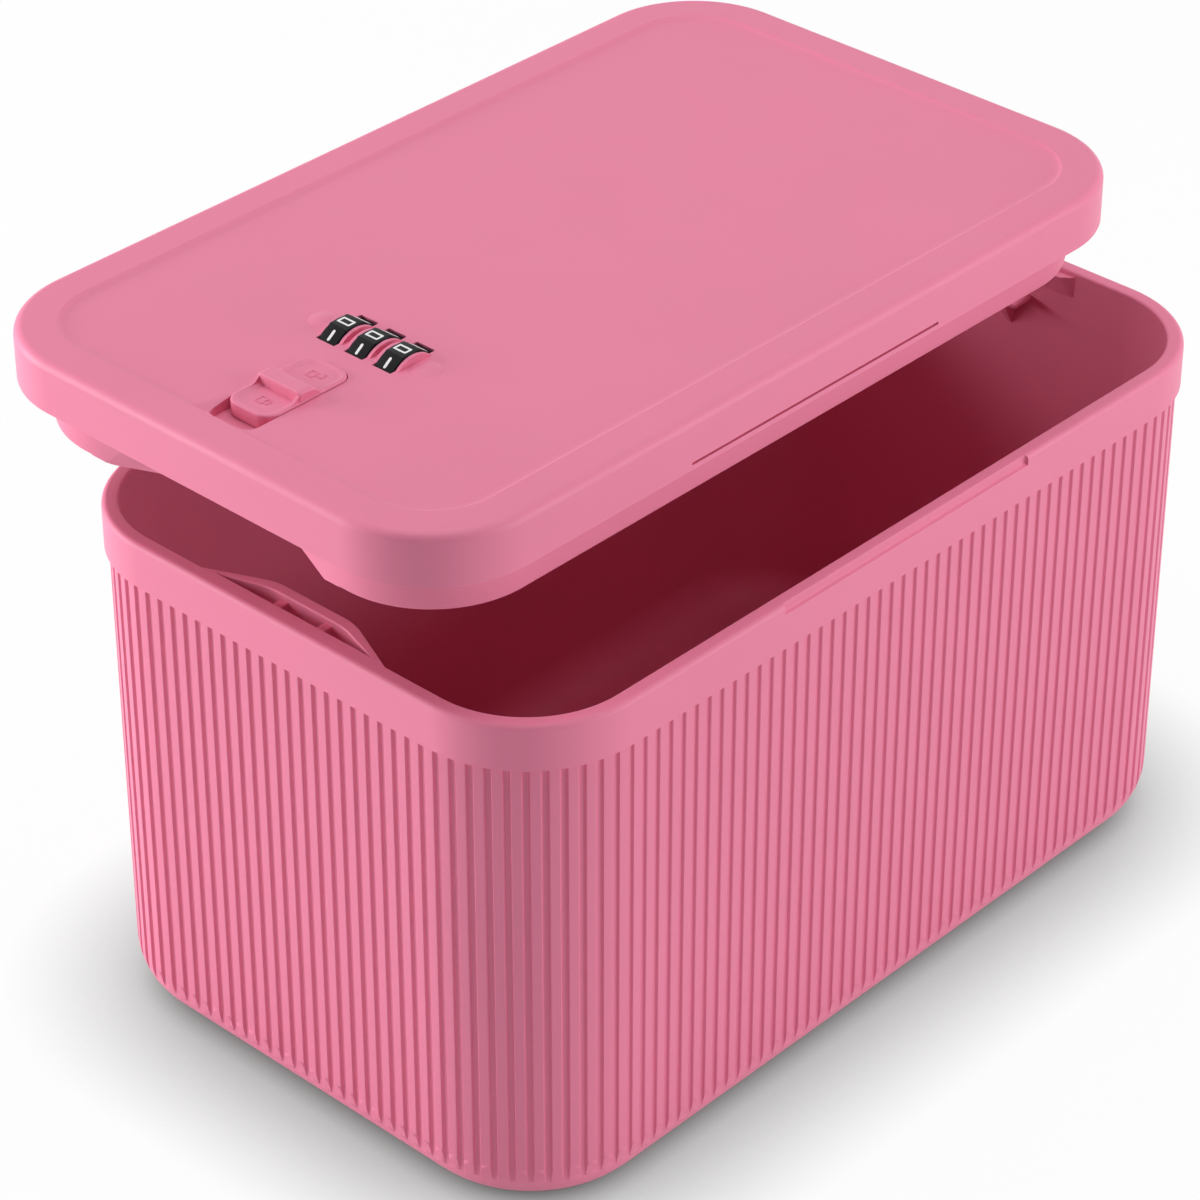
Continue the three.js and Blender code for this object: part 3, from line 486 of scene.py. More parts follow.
def lying_prism(name, points, x0, x1):
    """An outline in Y and Z, pulled along X."""
    piece = outline_prism(name, points, x0, x1)
    piece.matrix_world = Matrix(((0, 0, 1, 0), (1, 0, 0, 0), (0, 1, 0, 0), (0, 0, 0, 1)))
    return apply_place(piece)


def side_blocks(name, middle, half_x, depth, extent, foot, top):
    """Two cutting cuboids, one for each long side, of a depth into its face."""
    blocks = []
    for side in (-1, 1):
        inner = middle.x + side * (half_x - depth)
        outer = middle.x + side * (half_x + 2 * PAST)
        blocks.append(block(name, (min(inner, outer), middle.y - extent / 2, foot),
                            (max(inner, outer), middle.y + extent / 2, top)))
    return blocks


def middle_of(node):
    """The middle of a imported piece's box."""
    return [(a + b) / 2 for a, b in zip(*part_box(node))]


def hand_over(piece, name, body, slot, *nodes):
    piece.name = name
    piece.data.name = name
    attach(piece, body)
    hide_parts(*nodes)


def finish_piece(piece, name, body, slot, material, node):
    piece.data.materials.clear()
    piece.data.materials.append(material)
    smooth(piece, 40.0)
    activate(piece)
    bpy.ops.object.modifier_add(type="WEIGHTED_NORMAL")
    piece.modifiers[-1].keep_sharp = True
    bpy.ops.object.modifier_apply(modifier=piece.modifiers[-1].name)
    hand_over(piece, name, body, slot, node)


# Tub

# From a groove's floor to its lip: shares of its depth and of half its width.
GROOVE_PROFILE = ((-1.0, 0.50), (-0.92, 0.62), (-0.72, 0.72), (-0.22, 0.90), (-0.07, 0.98),
                  (0.0, 1.12), (1.1, 1.5))


def band(sizes, inset=0.0):
    return (TUB_HIGH.x - inset, TUB_HIGH.y - inset, sizes.corner - inset)


def wall(sizes):
    inset = sizes.wall_recess
    return (TUB_HIGH.x - inset, TUB_HIGH.y - inset,
            sizes.corner + sizes.wall_corner_growth - inset)


def tub_shell(sizes):
    height = TUB_HIGH.z
    band_foot = height - sizes.band_height
    mouth = band(sizes, sizes.rim_width)
    inside = band(sizes, sizes.rim_width + sizes.wall_draft)
    tub = skin("tub", [
        (*wall(sizes), 0.0), (*wall(sizes), band_foot), (*band(sizes), band_foot),
        (*band(sizes), height), (*mouth, height), (*inside, sizes.floor),
    ])
    round_edges(tub, at_height(0.0), sizes.bottom_round, 10)
    round_edges(tub, on_outline(*inside, sizes.floor), sizes.bottom_round - sizes.rim_width, 8)
    round_edges(tub, on_outline(*band(sizes), height), sizes.outer_round, 4)
    round_edges(tub, on_outline(*mouth, height), sizes.inner_round, 3)
    return tub


def along_wall(sizes, distance):
    """The place and outward direction at a distance along the wall."""
    half_x, half_y, radius = wall(sizes)
    arc = radius * math.pi / 2
    for side in range(4):
        outward = side * math.pi / 2
        normal = Vector((math.cos(outward), math.sin(outward)))
        forward = Vector((-normal.y, normal.x))
        straight = 2 * ((half_y if side % 2 == 0 else half_x) - radius)
        offset = half_x if side % 2 == 0 else half_y
        start = normal * offset - forward * (straight / 2)
        if distance < straight:
            return start + forward * distance, outward
        distance -= straight
        if distance < arc:
            angle = outward + distance / radius
            middle = start + forward * straight - normal * radius
            return middle + Vector((math.cos(angle), math.sin(angle))) * radius, angle
        distance -= arc
    return along_wall(sizes, 0.0)


def grooves(sizes):
    half = sizes.groove_width / 2
    side = [(depth * sizes.groove_depth, share * half) for depth, share in GROOVE_PROFILE]
    outline = side + [(x, -y) for x, y in reversed(side)]
    top = TUB_HIGH.z - sizes.band_height - sizes.groove_top_gap
    one = outline_prism("groove", outline, sizes.bottom_round / 4, top)
    half_x, half_y, radius = wall(sizes)
    around = 4 * (half_x + half_y - 2 * radius) + 2 * math.pi * radius
    made = []
    for i in range(sizes.groove_count):
        place, angle = along_wall(sizes, (i + 0.5) * around / sizes.groove_count)
        groove = twin(one)
        groove.location = (place.x, place.y, 0.0)
        groove.rotation_euler = (0.0, 0.0, angle)
        made.append(groove)
    bpy.data.objects.remove(one)
    return apply_place(join(*made))


def finger_grips(sizes):
    inner, grip_round = TUB_HIGH.x - sizes.grip_depth, 0.0009
    grips = side_blocks("grip", Vector(), TUB_HIGH.x, sizes.grip_depth, sizes.grip_length,
                        TUB_HIGH.z - sizes.grip_height, TUB_HIGH.z + 2 * PAST)
    for grip in grips:
        round_edges(grip, lambda edge: every(edge, lambda place: abs(abs(place.x) - inner) < NEAR)
                    and some(edge, lambda place: place.z < TUB_HIGH.z), grip_round, 4)
    return grips


def keeper_loop(sizes):
    """The loop on the front rim, with a long slot that two ribs cross."""
    nose_round, top_round, foot_round = 0.0035, 0.0013, 0.0006
    land, slot_round, slot_edge_round = 0.0007, 0.003, 0.0005
    rib_place, rib_half, rib_low, rib_high, rib_in, rib_round = (
        0.009, 0.0016, 0.0046, 0.002, 0.0005, 0.0004)
    under_rim = 0.00002
    mouth = TUB_HIGH.y - sizes.rim_width
    root = -mouth - sizes.rim_width / 2
    nose = -mouth + sizes.keeper_reach
    flare = (sizes.keeper_root - sizes.keeper_nose) / sizes.keeper_reach
    root_half = sizes.keeper_root + flare * sizes.rim_width / 2
    top = TUB_HIGH.z - under_rim
    foot = top - sizes.keeper_thickness
    loop = trapezoid("keeper", root, root_half, nose, sizes.keeper_nose, foot, top)
    round_edges(loop, lambda edge: every(edge, lambda place: place.y > nose - NEAR)
                and upright(edge), nose_round, 5)
    for z, radius, segments in ((top, top_round, 4), (foot, foot_round, 2)):
        round_edges(loop, lambda edge: at_height(z)(edge)
                    and some(edge, lambda place: place.y > root + APART), radius, segments)
    near, far = -mouth + land, nose - sizes.keeper_bar
    slot = trapezoid("slot", near, sizes.keeper_slot, far, sizes.keeper_nose - land,
                     foot - PAST, top + PAST)
    round_edges(slot, lambda edge: every(edge, lambda place: place.y > far - NEAR)
                and upright(edge), slot_round, 4)
    cut(loop, slot)
    round_edges(loop, lambda edge: at_height(top)(edge)
                and every(edge, lambda place: near - NEAR < place.y < far + NEAR)
                and len(edge.link_faces) == 2
                and any(abs(face.normal.z) < 0.5 for face in edge.link_faces),
                slot_edge_round, 3)
    ribs = [block("keeper_rib", (x - rib_half, near - rib_in, top - rib_low),
                  (x + rib_half, far + rib_in, top - rib_high)) for x in (-rib_place, rib_place)]
    return add(loop, *[soften(rib, rib_round) for rib in ribs])


def rear_catch(sizes):
    """The overhanging catch on the rear wall, and the two shelves with gussets under it."""
    end_slant, undercut, nose_round = 1.3, 0.8, 0.0009
    shelf_thickness, shelf_round = 0.002, 0.0007
    gusset_half, gusset_back, gusset_low, gusset_high = 0.0024, 0.0004, 0.015, 0.001
    gusset_taper, gusset_lean = 0.12, 0.0006
    mouth = TUB_HIGH.y - sizes.rim_width
    root = mouth + sizes.rim_width / 2
    nose = mouth - sizes.catch_reach
    top = TUB_HIGH.z - sizes.catch_drop
    foot = top - sizes.catch_height
    half = sizes.catch_half
    slant = sizes.catch_reach * end_slant
    lip = outline_prism("catch", [(-half, root), (-half, mouth), (slant - half, nose),
                                  (half - slant, nose), (half, mouth), (half, root)], foot, top)
    edit(lip, "VERT")
    pick("verts", lambda v: v.co.y < nose + APART and v.co.z < foot + APART)
    move(y=sizes.catch_reach * undercut)
    round_edges(lip, lambda edge: every(edge, lambda place: place.y < nose + APART
                                        and place.z > top - APART), nose_round, 4)
    shelf_top = TUB_HIGH.z - sizes.shelf_drop
    front = mouth - sizes.shelf_reach
    pieces = [lip]
    for x in (-sizes.shelf_place, sizes.shelf_place):
        half = sizes.shelf_width / 2
        shelf = block("shelf", (x - half, front, shelf_top - shelf_thickness),
                      (x + half, root, shelf_top))
        pieces.append(soften(shelf, shelf_round, 3))
        gusset = block("gusset", (x - gusset_half, front + gusset_back, shelf_top - gusset_low),
                       (x + gusset_half, root, shelf_top - gusset_high))
        tip = shelf_top - gusset_low + PAST
        edit(gusset, "VERT")
        pick("verts", lambda v: v.co.z < tip)
        stretch(x=gusset_taper)
        pick("verts", lambda v: v.co.y < mouth and v.co.z < tip)
        move(y=sizes.shelf_reach + gusset_lean)
        pieces.append(done(gusset))
    return pieces


def sharpen_roots(tub, sizes):
    """Keeps the lines crisp where the keeper loop and the rear catch meet the wall."""
    reach, low, high = 0.05, TUB_HIGH.z - 0.035, TUB_HIGH.z - 0.0015

    def on_wall(place):
        deep = (TUB_HIGH.z - place.z) / (TUB_HIGH.z - sizes.floor)
        inset = sizes.rim_width + sizes.wall_draft * deep
        return abs(abs(place.y) - TUB_HIGH.y + inset) < 2 * NEAR

    edit(tub, "EDGE")
    pick("edges", lambda edge: every(edge, lambda place: abs(place.x) < reach
                                     and low < place.z < high and on_wall(place)))
    bpy.ops.mesh.mark_sharp()
    return done(tub)


class LOCKBOX_OT_tub(Operator):
    """Models the fluted tub with its keeper loop, rear catch and finger grips"""

    bl_idname = "lock_box.tub"
    bl_label = "Tub"

    def execute(self, context):
        sizes = tub_sizes()
        tub = tub_shell(sizes)
        cut(tub, grooves(sizes), *finger_grips(sizes))
        add(tub, keeper_loop(sizes), *rear_catch(sizes))
        sharpen_roots(tub, sizes)
        finish_piece(tub, "tub_fluted", "tub_body", "pink_plastic",
                     moulded_plastic("Pink tub plastic", finishes().pink, 0.46), "tub")
        return {"FINISHED"}


# Lid

# From the border down to the panel: shares of the ramp's width and of its drop.
RAMP_PROFILE = ((0.17, 0.5), (0.38, 0.8), (0.66, 0.95), (1.0, 1.0))


def lid_place():
    """The middle of the lid's flange at its foot."""
    return Vector(((LID_LOW.x + LID_HIGH.x) / 2, (LID_LOW.y + LID_HIGH.y) / 2,
                   TUB_HIGH.z + lid_sizes().lift))


def panel_height():
    return lid_place().z + lid_sizes().height - lid_sizes().panel_drop


def lid_outline(sizes, inset=0.0):
    return ((LID_HIGH.x - LID_LOW.x) / 2 - inset, (LID_HIGH.y - LID_LOW.y) / 2 - inset,
            sizes.corner - inset)


def wheel_axis():
    return Vector(middle_of("number_wheel_middle"))


def wheel_xs():
    return [middle_of("number_wheel_" + place)[0] for place in WHEELS]


def lid_skin(sizes):
    border_round, foot_round = 0.0003, 0.0005
    ceiling = sizes.height - sizes.panel_drop - sizes.wall
    edge = lid_outline(sizes)
    inside = lid_outline(sizes, sizes.wall)
    border = lid_outline(sizes, sizes.border)
    ramp = [(*lid_outline(sizes, sizes.border + sizes.ramp * across),
             sizes.height - sizes.panel_drop * down) for across, down in RAMP_PROFILE]
    lid = skin("lid", [
        (*inside, ceiling), (*inside, 0.0), (*edge, 0.0), (*edge, sizes.height),
        (*border, sizes.height), *ramp,
    ])
    round_edges(lid, on_outline(*border, sizes.height), border_round, 2)
    round_edges(lid, on_outline(*edge, sizes.height), sizes.edge_round, 6)
    round_edges(lid, on_outline(*edge, 0.0), foot_round, 2)
    return shift(lid, lid_place())


def keep_above(piece, z):
    """Cuts away what lies under a height and closes the cut."""
    edit(piece, "FACE")
    pick_all()
    bpy.ops.mesh.bisect(plane_co=(0.0, 0.0, z), plane_no=(0.0, 0.0, 1.0), clear_inner=True,
                        use_fill=True)
    return done(piece)


def collars(sizes, lock):
    """The arched walls beside each number wheel."""
    axis = wheel_axis()
    half = lock.wheel_width / 2 + lock.slot_side_gap + lock.collar
    return [keep_above(drum("collar", lock.wheel_radius - lock.collar_drop, x - half, x + half,
                            axis.y, axis.z, 96), panel_height() - sizes.wall / 2)
            for x in wheel_xs()]


def wheel_slots(lock):
    """The slots that the wheels stand in, and the shallow recess behind each."""
    recess_start, recess_depth, recess_inset, over_panel = 0.0072, 0.0016, 0.0002, 0.004
    axis = wheel_axis()
    half = lock.wheel_width / 2 + lock.slot_side_gap
    panel = panel_height()
    slots = []
    for x in wheel_xs():
        slots.append(drum("slot", lock.wheel_radius + lock.slot_gap, x - half, x + half,
                          axis.y, axis.z, 96))
        slots.append(block("slot_rear", (x - half + recess_inset, axis.y + recess_start,
                                         panel - recess_depth),
                           (x + half - recess_inset, axis.y + lock.slot_rear,
                            panel + over_panel)))
    return slots


def pocket(lock, grow, low, high):
    """A box with round corners at the slide button's place, for its pocket."""
    middle = Vector(middle_of("slide_button"))
    gap = lock.piece_gap + grow
    outline = (lock.button_width / 2 + gap, (lock.button_length + lock.travel) / 2 + gap,
               lock.button_corner + gap)
    box = skin("pocket", [(*outline, low), (*outline, high)])
    return shift(box, (middle.x, middle.y - lock.travel / 2, 0.0))


def pocket_flare(lock, low, high):
    """The slope beside the pocket's front end, which runs out at its rear."""
    overlap, sliver = 0.0015, 0.0001
    middle = Vector(middle_of("slide_button"))
    side = middle.x - lock.button_width / 2 - lock.piece_gap
    front = middle.y - lock.button_length / 2 - lock.travel - lock.piece_gap
    rear = front + lock.flare_length
    flare = block("flare", (side - lock.flare_width, front, low), (side + overlap, rear, high))
    edit(flare, "VERT")
    pick("verts", lambda v: v.co.x < side and (v.co.z < high - NEAR or v.co.y > rear - NEAR))
    stretch(x=0.0)
    move(x=lock.flare_width - sliver)
    pick("verts", lambda v: v.co.y > rear - NEAR and v.co.z < high - NEAR)
    move(z=high - low - sliver)
    return done(flare)


def shoulders(sizes, lock):
    """Low domes that lead from the panel up to both ends of the row of wheels."""
    axis, xs, panel = wheel_axis(), wheel_xs(), panel_height()
    centre = panel + lock.shoulder_height - lock.shoulder_radius
    domes = []
    for x in (xs[0] - lock.shoulder_place, xs[-1] + lock.shoulder_place):
        deselect()
        bpy.ops.mesh.primitive_uv_sphere_add(
            segments=96, ring_count=96, radius=lock.shoulder_radius,
            location=(x, axis.y, centre))
        domes.append(keep_above(added("dome"), panel - sizes.wall / 2))
    return domes


def side_slits(sizes):
    place = lid_place()
    foot = place.z + sizes.slit_place
    return side_blocks("slit", place, (LID_HIGH.x - LID_LOW.x) / 2, sizes.slit_depth,
                       sizes.slit_length, foot, foot + sizes.slit_height)


def screw_posts(ceiling):
    """The posts inside the lid that the liner's and the frame's screws go into."""
    posts = []
    for names, radius, head in ((LINER_SCREWS, 0.0042, 0.0047), (FRAME_SCREWS, 0.0034, 0.0043)):
        for name in names:
            x, y, _ = middle_of(name)
            posts.append(peg("post", radius, x, y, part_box(name)[0].z + head, ceiling + PAST))
    return posts


class LOCKBOX_OT_lid_shell(Operator):
    """Models the lid's top with its border, wheel openings, collars and the button's pocket"""

    bl_idname = "lock_box.lid_shell"
    bl_label = "Lid shell"

    def execute(self, context):
        sizes, lock = lid_sizes(), lock_sizes()
        pocket_wall, stem_half, stem_front, stem_rear = 0.002, 0.0043, 0.0128, 0.0048
        over_panel, over_border, edge_round = 0.005, 0.0005, 0.00022
        panel = panel_height()
        ceiling = panel - sizes.wall
        floor = panel - lock.pocket_depth
        lid = lid_skin(sizes)
        add(lid, *shoulders(sizes, lock))
        add(lid, pocket(lock, pocket_wall, floor - pocket_wall, ceiling + sizes.wall / 2),
            *collars(sizes, lock))
        cut(lid, pocket(lock, 0.0, floor, panel + over_panel),
            pocket_flare(lock, panel - lock.flare_depth, panel + sizes.panel_drop + over_border))
        x, y, _ = middle_of("slide_button")
        cut(lid, block("stem_slot", (x - stem_half, y - stem_front, floor - 3 * PAST),
                       (x + stem_half, y + stem_rear, floor + PAST)))
        cut(lid, *wheel_slots(lock), *side_slits(sizes))
        soften(lid, edge_round, 2, 50.0)
        join(lid, *screw_posts(ceiling))
        finish_piece(lid, "lid_top", "lid_body", "pink_plastic",
                     moulded_plastic("Pink lid plastic", finishes().pink, 0.44), "lid_shell")
        return {"FINISHED"}


# Lid liner


def skirt(sizes, wall_in, z):
    """The skirt's outline at a height under the flange's foot."""
    share = -z / sizes.skirt_depth
    gap = sizes.skirt_gap_top + (sizes.skirt_gap_bottom - sizes.skirt_gap_top) * share
    inset = gap + wall_in
    rim = tub_sizes().rim_width
    return (TUB_HIGH.x - rim - inset, TUB_HIGH.y - rim - inset, sizes.skirt_corner - wall_in, z)


def keeper_room(sizes, tub, grow, top):
    """The room for the keeper loop, which leans along the way the lid lifts off."""
    lean, side_share, clearance = 0.42, 0.65, 0.0008
    mouth = TUB_HIGH.y - tub.rim_width
    nose = -mouth + tub.keeper_reach
    flare = (tub.keeper_root - tub.keeper_nose) / tub.keeper_reach
    room = clearance + grow
    foot = -sizes.skirt_depth - PAST

    def outline(z):
        shifted = -lean * z
        nose_y = nose + shifted + room
        nose_half = tub.keeper_nose + shifted + room * side_share
        mouth_y = -mouth - tub.keeper_reach
        return nose_y, nose_half, mouth_y, nose_half + (nose_y - mouth_y) * flare

    nose_y, nose_half, mouth_y, mouth_half = outline(foot)
    piece = trapezoid("keeper_room", mouth_y, mouth_half, nose_y, nose_half, foot, top)
    top_nose_y, top_nose_half, _, top_mouth_half = outline(top)
    edit(piece, "VERT")
    pick("verts", lambda v: v.co.z > top - NEAR and v.co.y > mouth_y + APART)
    stretch(x=top_nose_half / nose_half)
    move(y=top_nose_y - nose_y)
    pick("verts", lambda v: v.co.z > top - NEAR and v.co.y < mouth_y + APART)
    stretch(x=top_mouth_half / mouth_half)
    return done(piece)


def liner_tray(sizes):
    lip_foot, lip_top, lip_gap, foot_round = 0.0003, 0.0023, 0.0003, 0.0014
    depth, inner = sizes.skirt_depth, sizes.skirt_wall
    lip = lid_outline(sizes, sizes.wall + lip_gap)
    tray = skin("liner", [
        skirt(sizes, inner, inner - depth), (*skirt(sizes, inner, lip_top)[:3], lip_top),
        (*lip, lip_top), (*lip, lip_foot), (*skirt(sizes, 0.0, 0.0)[:3], lip_foot),
        skirt(sizes, 0.0, -depth),
    ])
    round_edges(tray, on_outline(*skirt(sizes, 0.0, -depth)), foot_round, 4)
    return tray


def rear_hooks(sizes, tub):
    """The two hooks behind the skirt; their faces lean like the catch that holds them."""
    half, front, rear, top, lean, edge_round = 0.007, 0.0072, 0.0004, -0.0021, 0.0033, 0.0006
    mouth = TUB_HIGH.y - tub.rim_width
    hooks = []
    for x in (-tub.shelf_place, tub.shelf_place):
        hook = block("hook", (x - half, mouth - front, -sizes.skirt_depth),
                     (x + half, mouth - rear, top))
        edit(hook, "VERT")
        pick("verts", lambda v: v.co.y > mouth - rear - APART and v.co.z > top - APART)
        move(y=-lean)
        hooks.append(round_edges(hook, lambda edge: every(
            edge, lambda place: place.y > mouth - front + APART), edge_round, 3))
    return hooks


class LOCKBOX_OT_lid_liner(Operator):
    """Models the liner whose skirt hangs inside the tub's mouth"""

    bl_idname = "lock_box.lid_liner"
    bl_label = "Lid liner"

    def execute(self, context):
        sizes, tub = lid_sizes(), tub_sizes()
        depth = sizes.skirt_depth
        back_inset, back_foot, back_top, room_top, notch_top = (
            0.0001, 0.0005, 0.0022, 0.0043, 0.0003)
        gap, window_front, window_rear, window_top, edge_round = (
            0.0003, 0.004, 0.0152, 0.0036, 0.0003)
        seat_radius, seat_depth, hole_radius, hole_depth, reset_radius = (
            0.0031, 0.002, 0.0016, 0.004, 0.0033)
        liner = liner_tray(sizes)
        backing = skin("backing", [skirt(sizes, back_inset, back_foot - depth),
                                   (*skirt(sizes, back_inset, 0.0)[:3], back_top)])
        combine(backing, keeper_room(sizes, tub, sizes.skirt_wall, room_top), "INTERSECT")
        add(liner, backing, *rear_hooks(sizes, tub))
        cut(liner, keeper_room(sizes, tub, 0.0, notch_top))
        shift(liner, lid_place())
        low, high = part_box("latch")
        cut(liner, block("latch_window", (low.x - gap, low.y - window_front, low.z - gap),
                         (high.x + gap, low.y + window_rear, low.z + window_top)))
        foot = lid_place().z - depth
        for name in LINER_SCREWS:
            x, y, _ = middle_of(name)
            cut(liner, peg("seat", seat_radius, x, y, foot - PAST, foot + seat_depth),
                peg("hole", hole_radius, x, y, foot + PAST, foot + hole_depth))
        x, y, _ = middle_of("reset_button")
        cut(liner, peg("reset_hole", reset_radius, x, y, foot - PAST, foot + hole_depth))
        soften(liner, edge_round, 2, 50.0)
        plastic = moulded_plastic("Pink liner plastic", finishes().inner_pink, 0.5)
        finish_piece(liner, "lid_skirt", "lid_body", "pink_inner_plastic", plastic, "lid_liner")
        return {"FINISHED"}


# Number wheels

# A digit's strokes, each from one place to another in shares of half its width and height.
TOP, MIDDLE, FOOT = ((-1, 1), (1, 1)), ((-1, 0), (1, 0)), ((-1, -1), (1, -1))
UPPER_LEFT, UPPER_RIGHT = ((-1, 0), (-1, 1)), ((1, 0), (1, 1))
LOWER_LEFT, LOWER_RIGHT = ((-1, -1), (-1, 0)), ((1, -1), (1, 0))
LEFT, RIGHT = ((-1, -1), (-1, 1)), ((1, -1), (1, 1))
DIGITS = (
    (TOP, FOOT, LEFT, RIGHT),
    (((0, -1.15), (0, 1.15)),),
    (TOP, UPPER_RIGHT, MIDDLE, LOWER_LEFT, FOOT),
    (TOP, MIDDLE, FOOT, RIGHT),
    (UPPER_LEFT, MIDDLE, RIGHT),
    (TOP, UPPER_LEFT, MIDDLE, LOWER_RIGHT, FOOT),
    (TOP, LEFT, MIDDLE, LOWER_RIGHT, FOOT),
    (TOP, RIGHT),
    (TOP, MIDDLE, FOOT, LEFT, RIGHT),
    (TOP, UPPER_LEFT, MIDDLE, RIGHT, FOOT),
)


def stroke(start, end, width, height):
    """A flat bar with round ends between two places, of a height."""
    end_round = 0.49 * width
    deselect()
    bpy.ops.mesh.primitive_plane_add(size=1.0)
    reach = math.hypot(end[0] - start[0], end[1] - start[1]) + width
    standing = abs(end[1] - start[1]) > abs(end[0] - start[0])
    stretch(*((width, reach) if standing else (reach, width)))
    move((start[0] + end[0]) / 2, (start[1] + end[1]) / 2)
    bar = added("stroke")
    edit(bar, "VERT")
    pick_all()
    bpy.ops.mesh.bevel(offset=end_round, segments=5, affect="VERTICES")
    pick_all()
    bpy.ops.mesh.extrude_region_move(TRANSFORM_OT_translate={"value": (0.0, 0.0, height)})
    return done(bar)


def digit(lock, strokes):
    """A digit of strokes, each a hair higher than the one before, so that no faces clash."""
    ink, ink_step, lone_stroke = 0.00009, 0.000003, 1.35
    half_x = (lock.digit_width - lock.digit_stroke) / 2
    half_y = (lock.digit_height - lock.digit_stroke) / 2
    width = lock.digit_stroke * (lone_stroke if len(strokes) == 1 else 1.0)
    return join(*[stroke((start[0] * half_x, start[1] * half_y), (end[0] * half_x, end[1] * half_y),
                         width, ink + i * ink_step) for i, (start, end) in enumerate(strokes)])


def digits(lock):
    """The ten digits, each laid on its facet, with 0 on top and 1 towards the lock end."""
    sunk = 0.00003
    facet = lock.wheel_radius * math.cos(math.pi / 10)
    return join(*[turn(shift(digit(lock, strokes), (0.0, 0.0, facet - sunk)),
                       value * math.pi / 5, "X") for value, strokes in enumerate(DIGITS)])


def number_wheel(lock):
    """A ten-sided wheel with a keyed bore and a ring-shaped rebate in both ends."""
    edge_round, bore_radius, boss_radius, boss_reach = 0.0003, 0.0047, 0.0068, 0.0006
    key_half, key_low, key_high = 0.001, 0.003, 0.0056
    rebate_inset, rebate_depth = 0.0022, 0.0004
    half = lock.wheel_width / 2
    deselect()
    bpy.ops.mesh.primitive_cylinder_add(vertices=10, radius=lock.wheel_radius,
                                        depth=lock.wheel_width)
    wheel = turn(bpy.context.object, math.pi / 2, "Y")
    round_edges(wheel, lambda edge: True, edge_round, 3)
    bore = drum("bore", bore_radius, -half - PAST, half + PAST, 0.0, 0.0, 48)
    keys = [turn(block("key", (-half - PAST, -key_half, key_low),
                       (half + PAST, key_half, key_high)), i * math.pi / 5, "X")
            for i in range(10)]
    cut(wheel, bore, *keys)
    for end in (-half, half):
        rebate = drum("rebate", lock.wheel_radius - rebate_inset, end - rebate_depth,
                      end + rebate_depth, 0.0, 0.0, 60)
        boss = drum("boss", boss_radius, end - boss_reach, end + boss_reach, 0.0, 0.0, 48)
        cut(wheel, cut(rebate, boss))
    return wheel


class LOCKBOX_OT_number_wheels(Operator):
    """Models a ten-sided number wheel with its digits and copies it to the three places"""

    bl_idname = "lock_box.number_wheels"
    bl_label = "Number wheels"

    def execute(self, context):
        lock = lock_sizes()
        black = moulded_plastic("Black wheel plastic", finishes().black, 0.38, 0.5, 0.14)
        white = printed_ink("White digit ink", finishes().white)
        wheel = number_wheel(lock)
        figures = digits(lock)
        wheel.data.materials.clear()
        wheel.data.materials.append(black)
        figures.data.materials.append(white)
        wheel = join(wheel, figures)
        axis = wheel_axis()
        made = [wheel, twin(wheel), twin(wheel)]
        for piece, side, x in zip(made, WHEELS, wheel_xs()):
            piece.location = (x, axis.y, axis.z)
            smooth(apply_place(piece), 35.0)
            hand_over(piece, "digit_wheel_" + side, side + "_wheel_body", "black_plastic",
                      "number_wheel_" + side)
        return {"FINISHED"}


# Slide button

# The ridge along Y, from its front foot to its rear foot: places and shares of its rise.
RIDGE_PROFILE = ((-0.0042, 0.0), (-0.00412, 0.5), (-0.00395, 0.86), (-0.0037, 0.97),
                 (-0.0032, 1.0), (-0.0012, 1.0), (0.0004, 0.97), (0.0015, 0.88),
                 (0.0025, 0.70), (0.0033, 0.44), (0.0039, 0.18), (0.0042, 0.0))
# How the ridge's height falls at its two ends: places in from an end and shares of the height.
RIDGE_ENDS = ((0.0018, 0.995), (0.0011, 0.965), (0.0005, 0.89), (0.0, 0.74))
# How the rim sweeps up to the ridge's front: places and shares of the rise over the rim.
SWEEP_PROFILE = ((-0.0084, -0.05), (-0.0074, 0.02), (-0.0064, 0.10), (-0.0056, 0.23),
                 (-0.0050, 0.42), (-0.0045, 0.55), (-0.0041, 0.61), (-0.0036, 0.63))


def padlock_sign(x, y, z, lift, aside):
    """A raised padlock whose shackle points to +X, moved out and aside when it is open."""
    width, body_x, body_y, body_height, step = 0.0003, 0.0012, 0.0016, 0.00020, 0.00001
    shackle_reach, shackle_half, shackle_height, open_leg = 0.0017, 0.0011, 0.00024, 0.0009
    left, right, front, rear = x - 2 * body_x, x, y - body_y, y + body_y
    sides = (((left, front), (right, front)), ((left, rear), (right, rear)),
             ((left, front), (left, rear)), ((right, front), (right, rear)))
    near, far = x + lift, x + shackle_reach + lift
    low, high = y - shackle_half + aside, y + shackle_half + aside
    shackle = (((near, low), (far, low)), ((far, low), (far, high)),
               ((near + open_leg if aside else near, high), (far, high)))
    bars = [stroke(a, b, width, height + i * step)
            for lines, height in ((sides, body_height), (shackle, shackle_height))
            for i, (a, b) in enumerate(lines)]
    return shift(join(*bars), (0.0, 0.0, z))


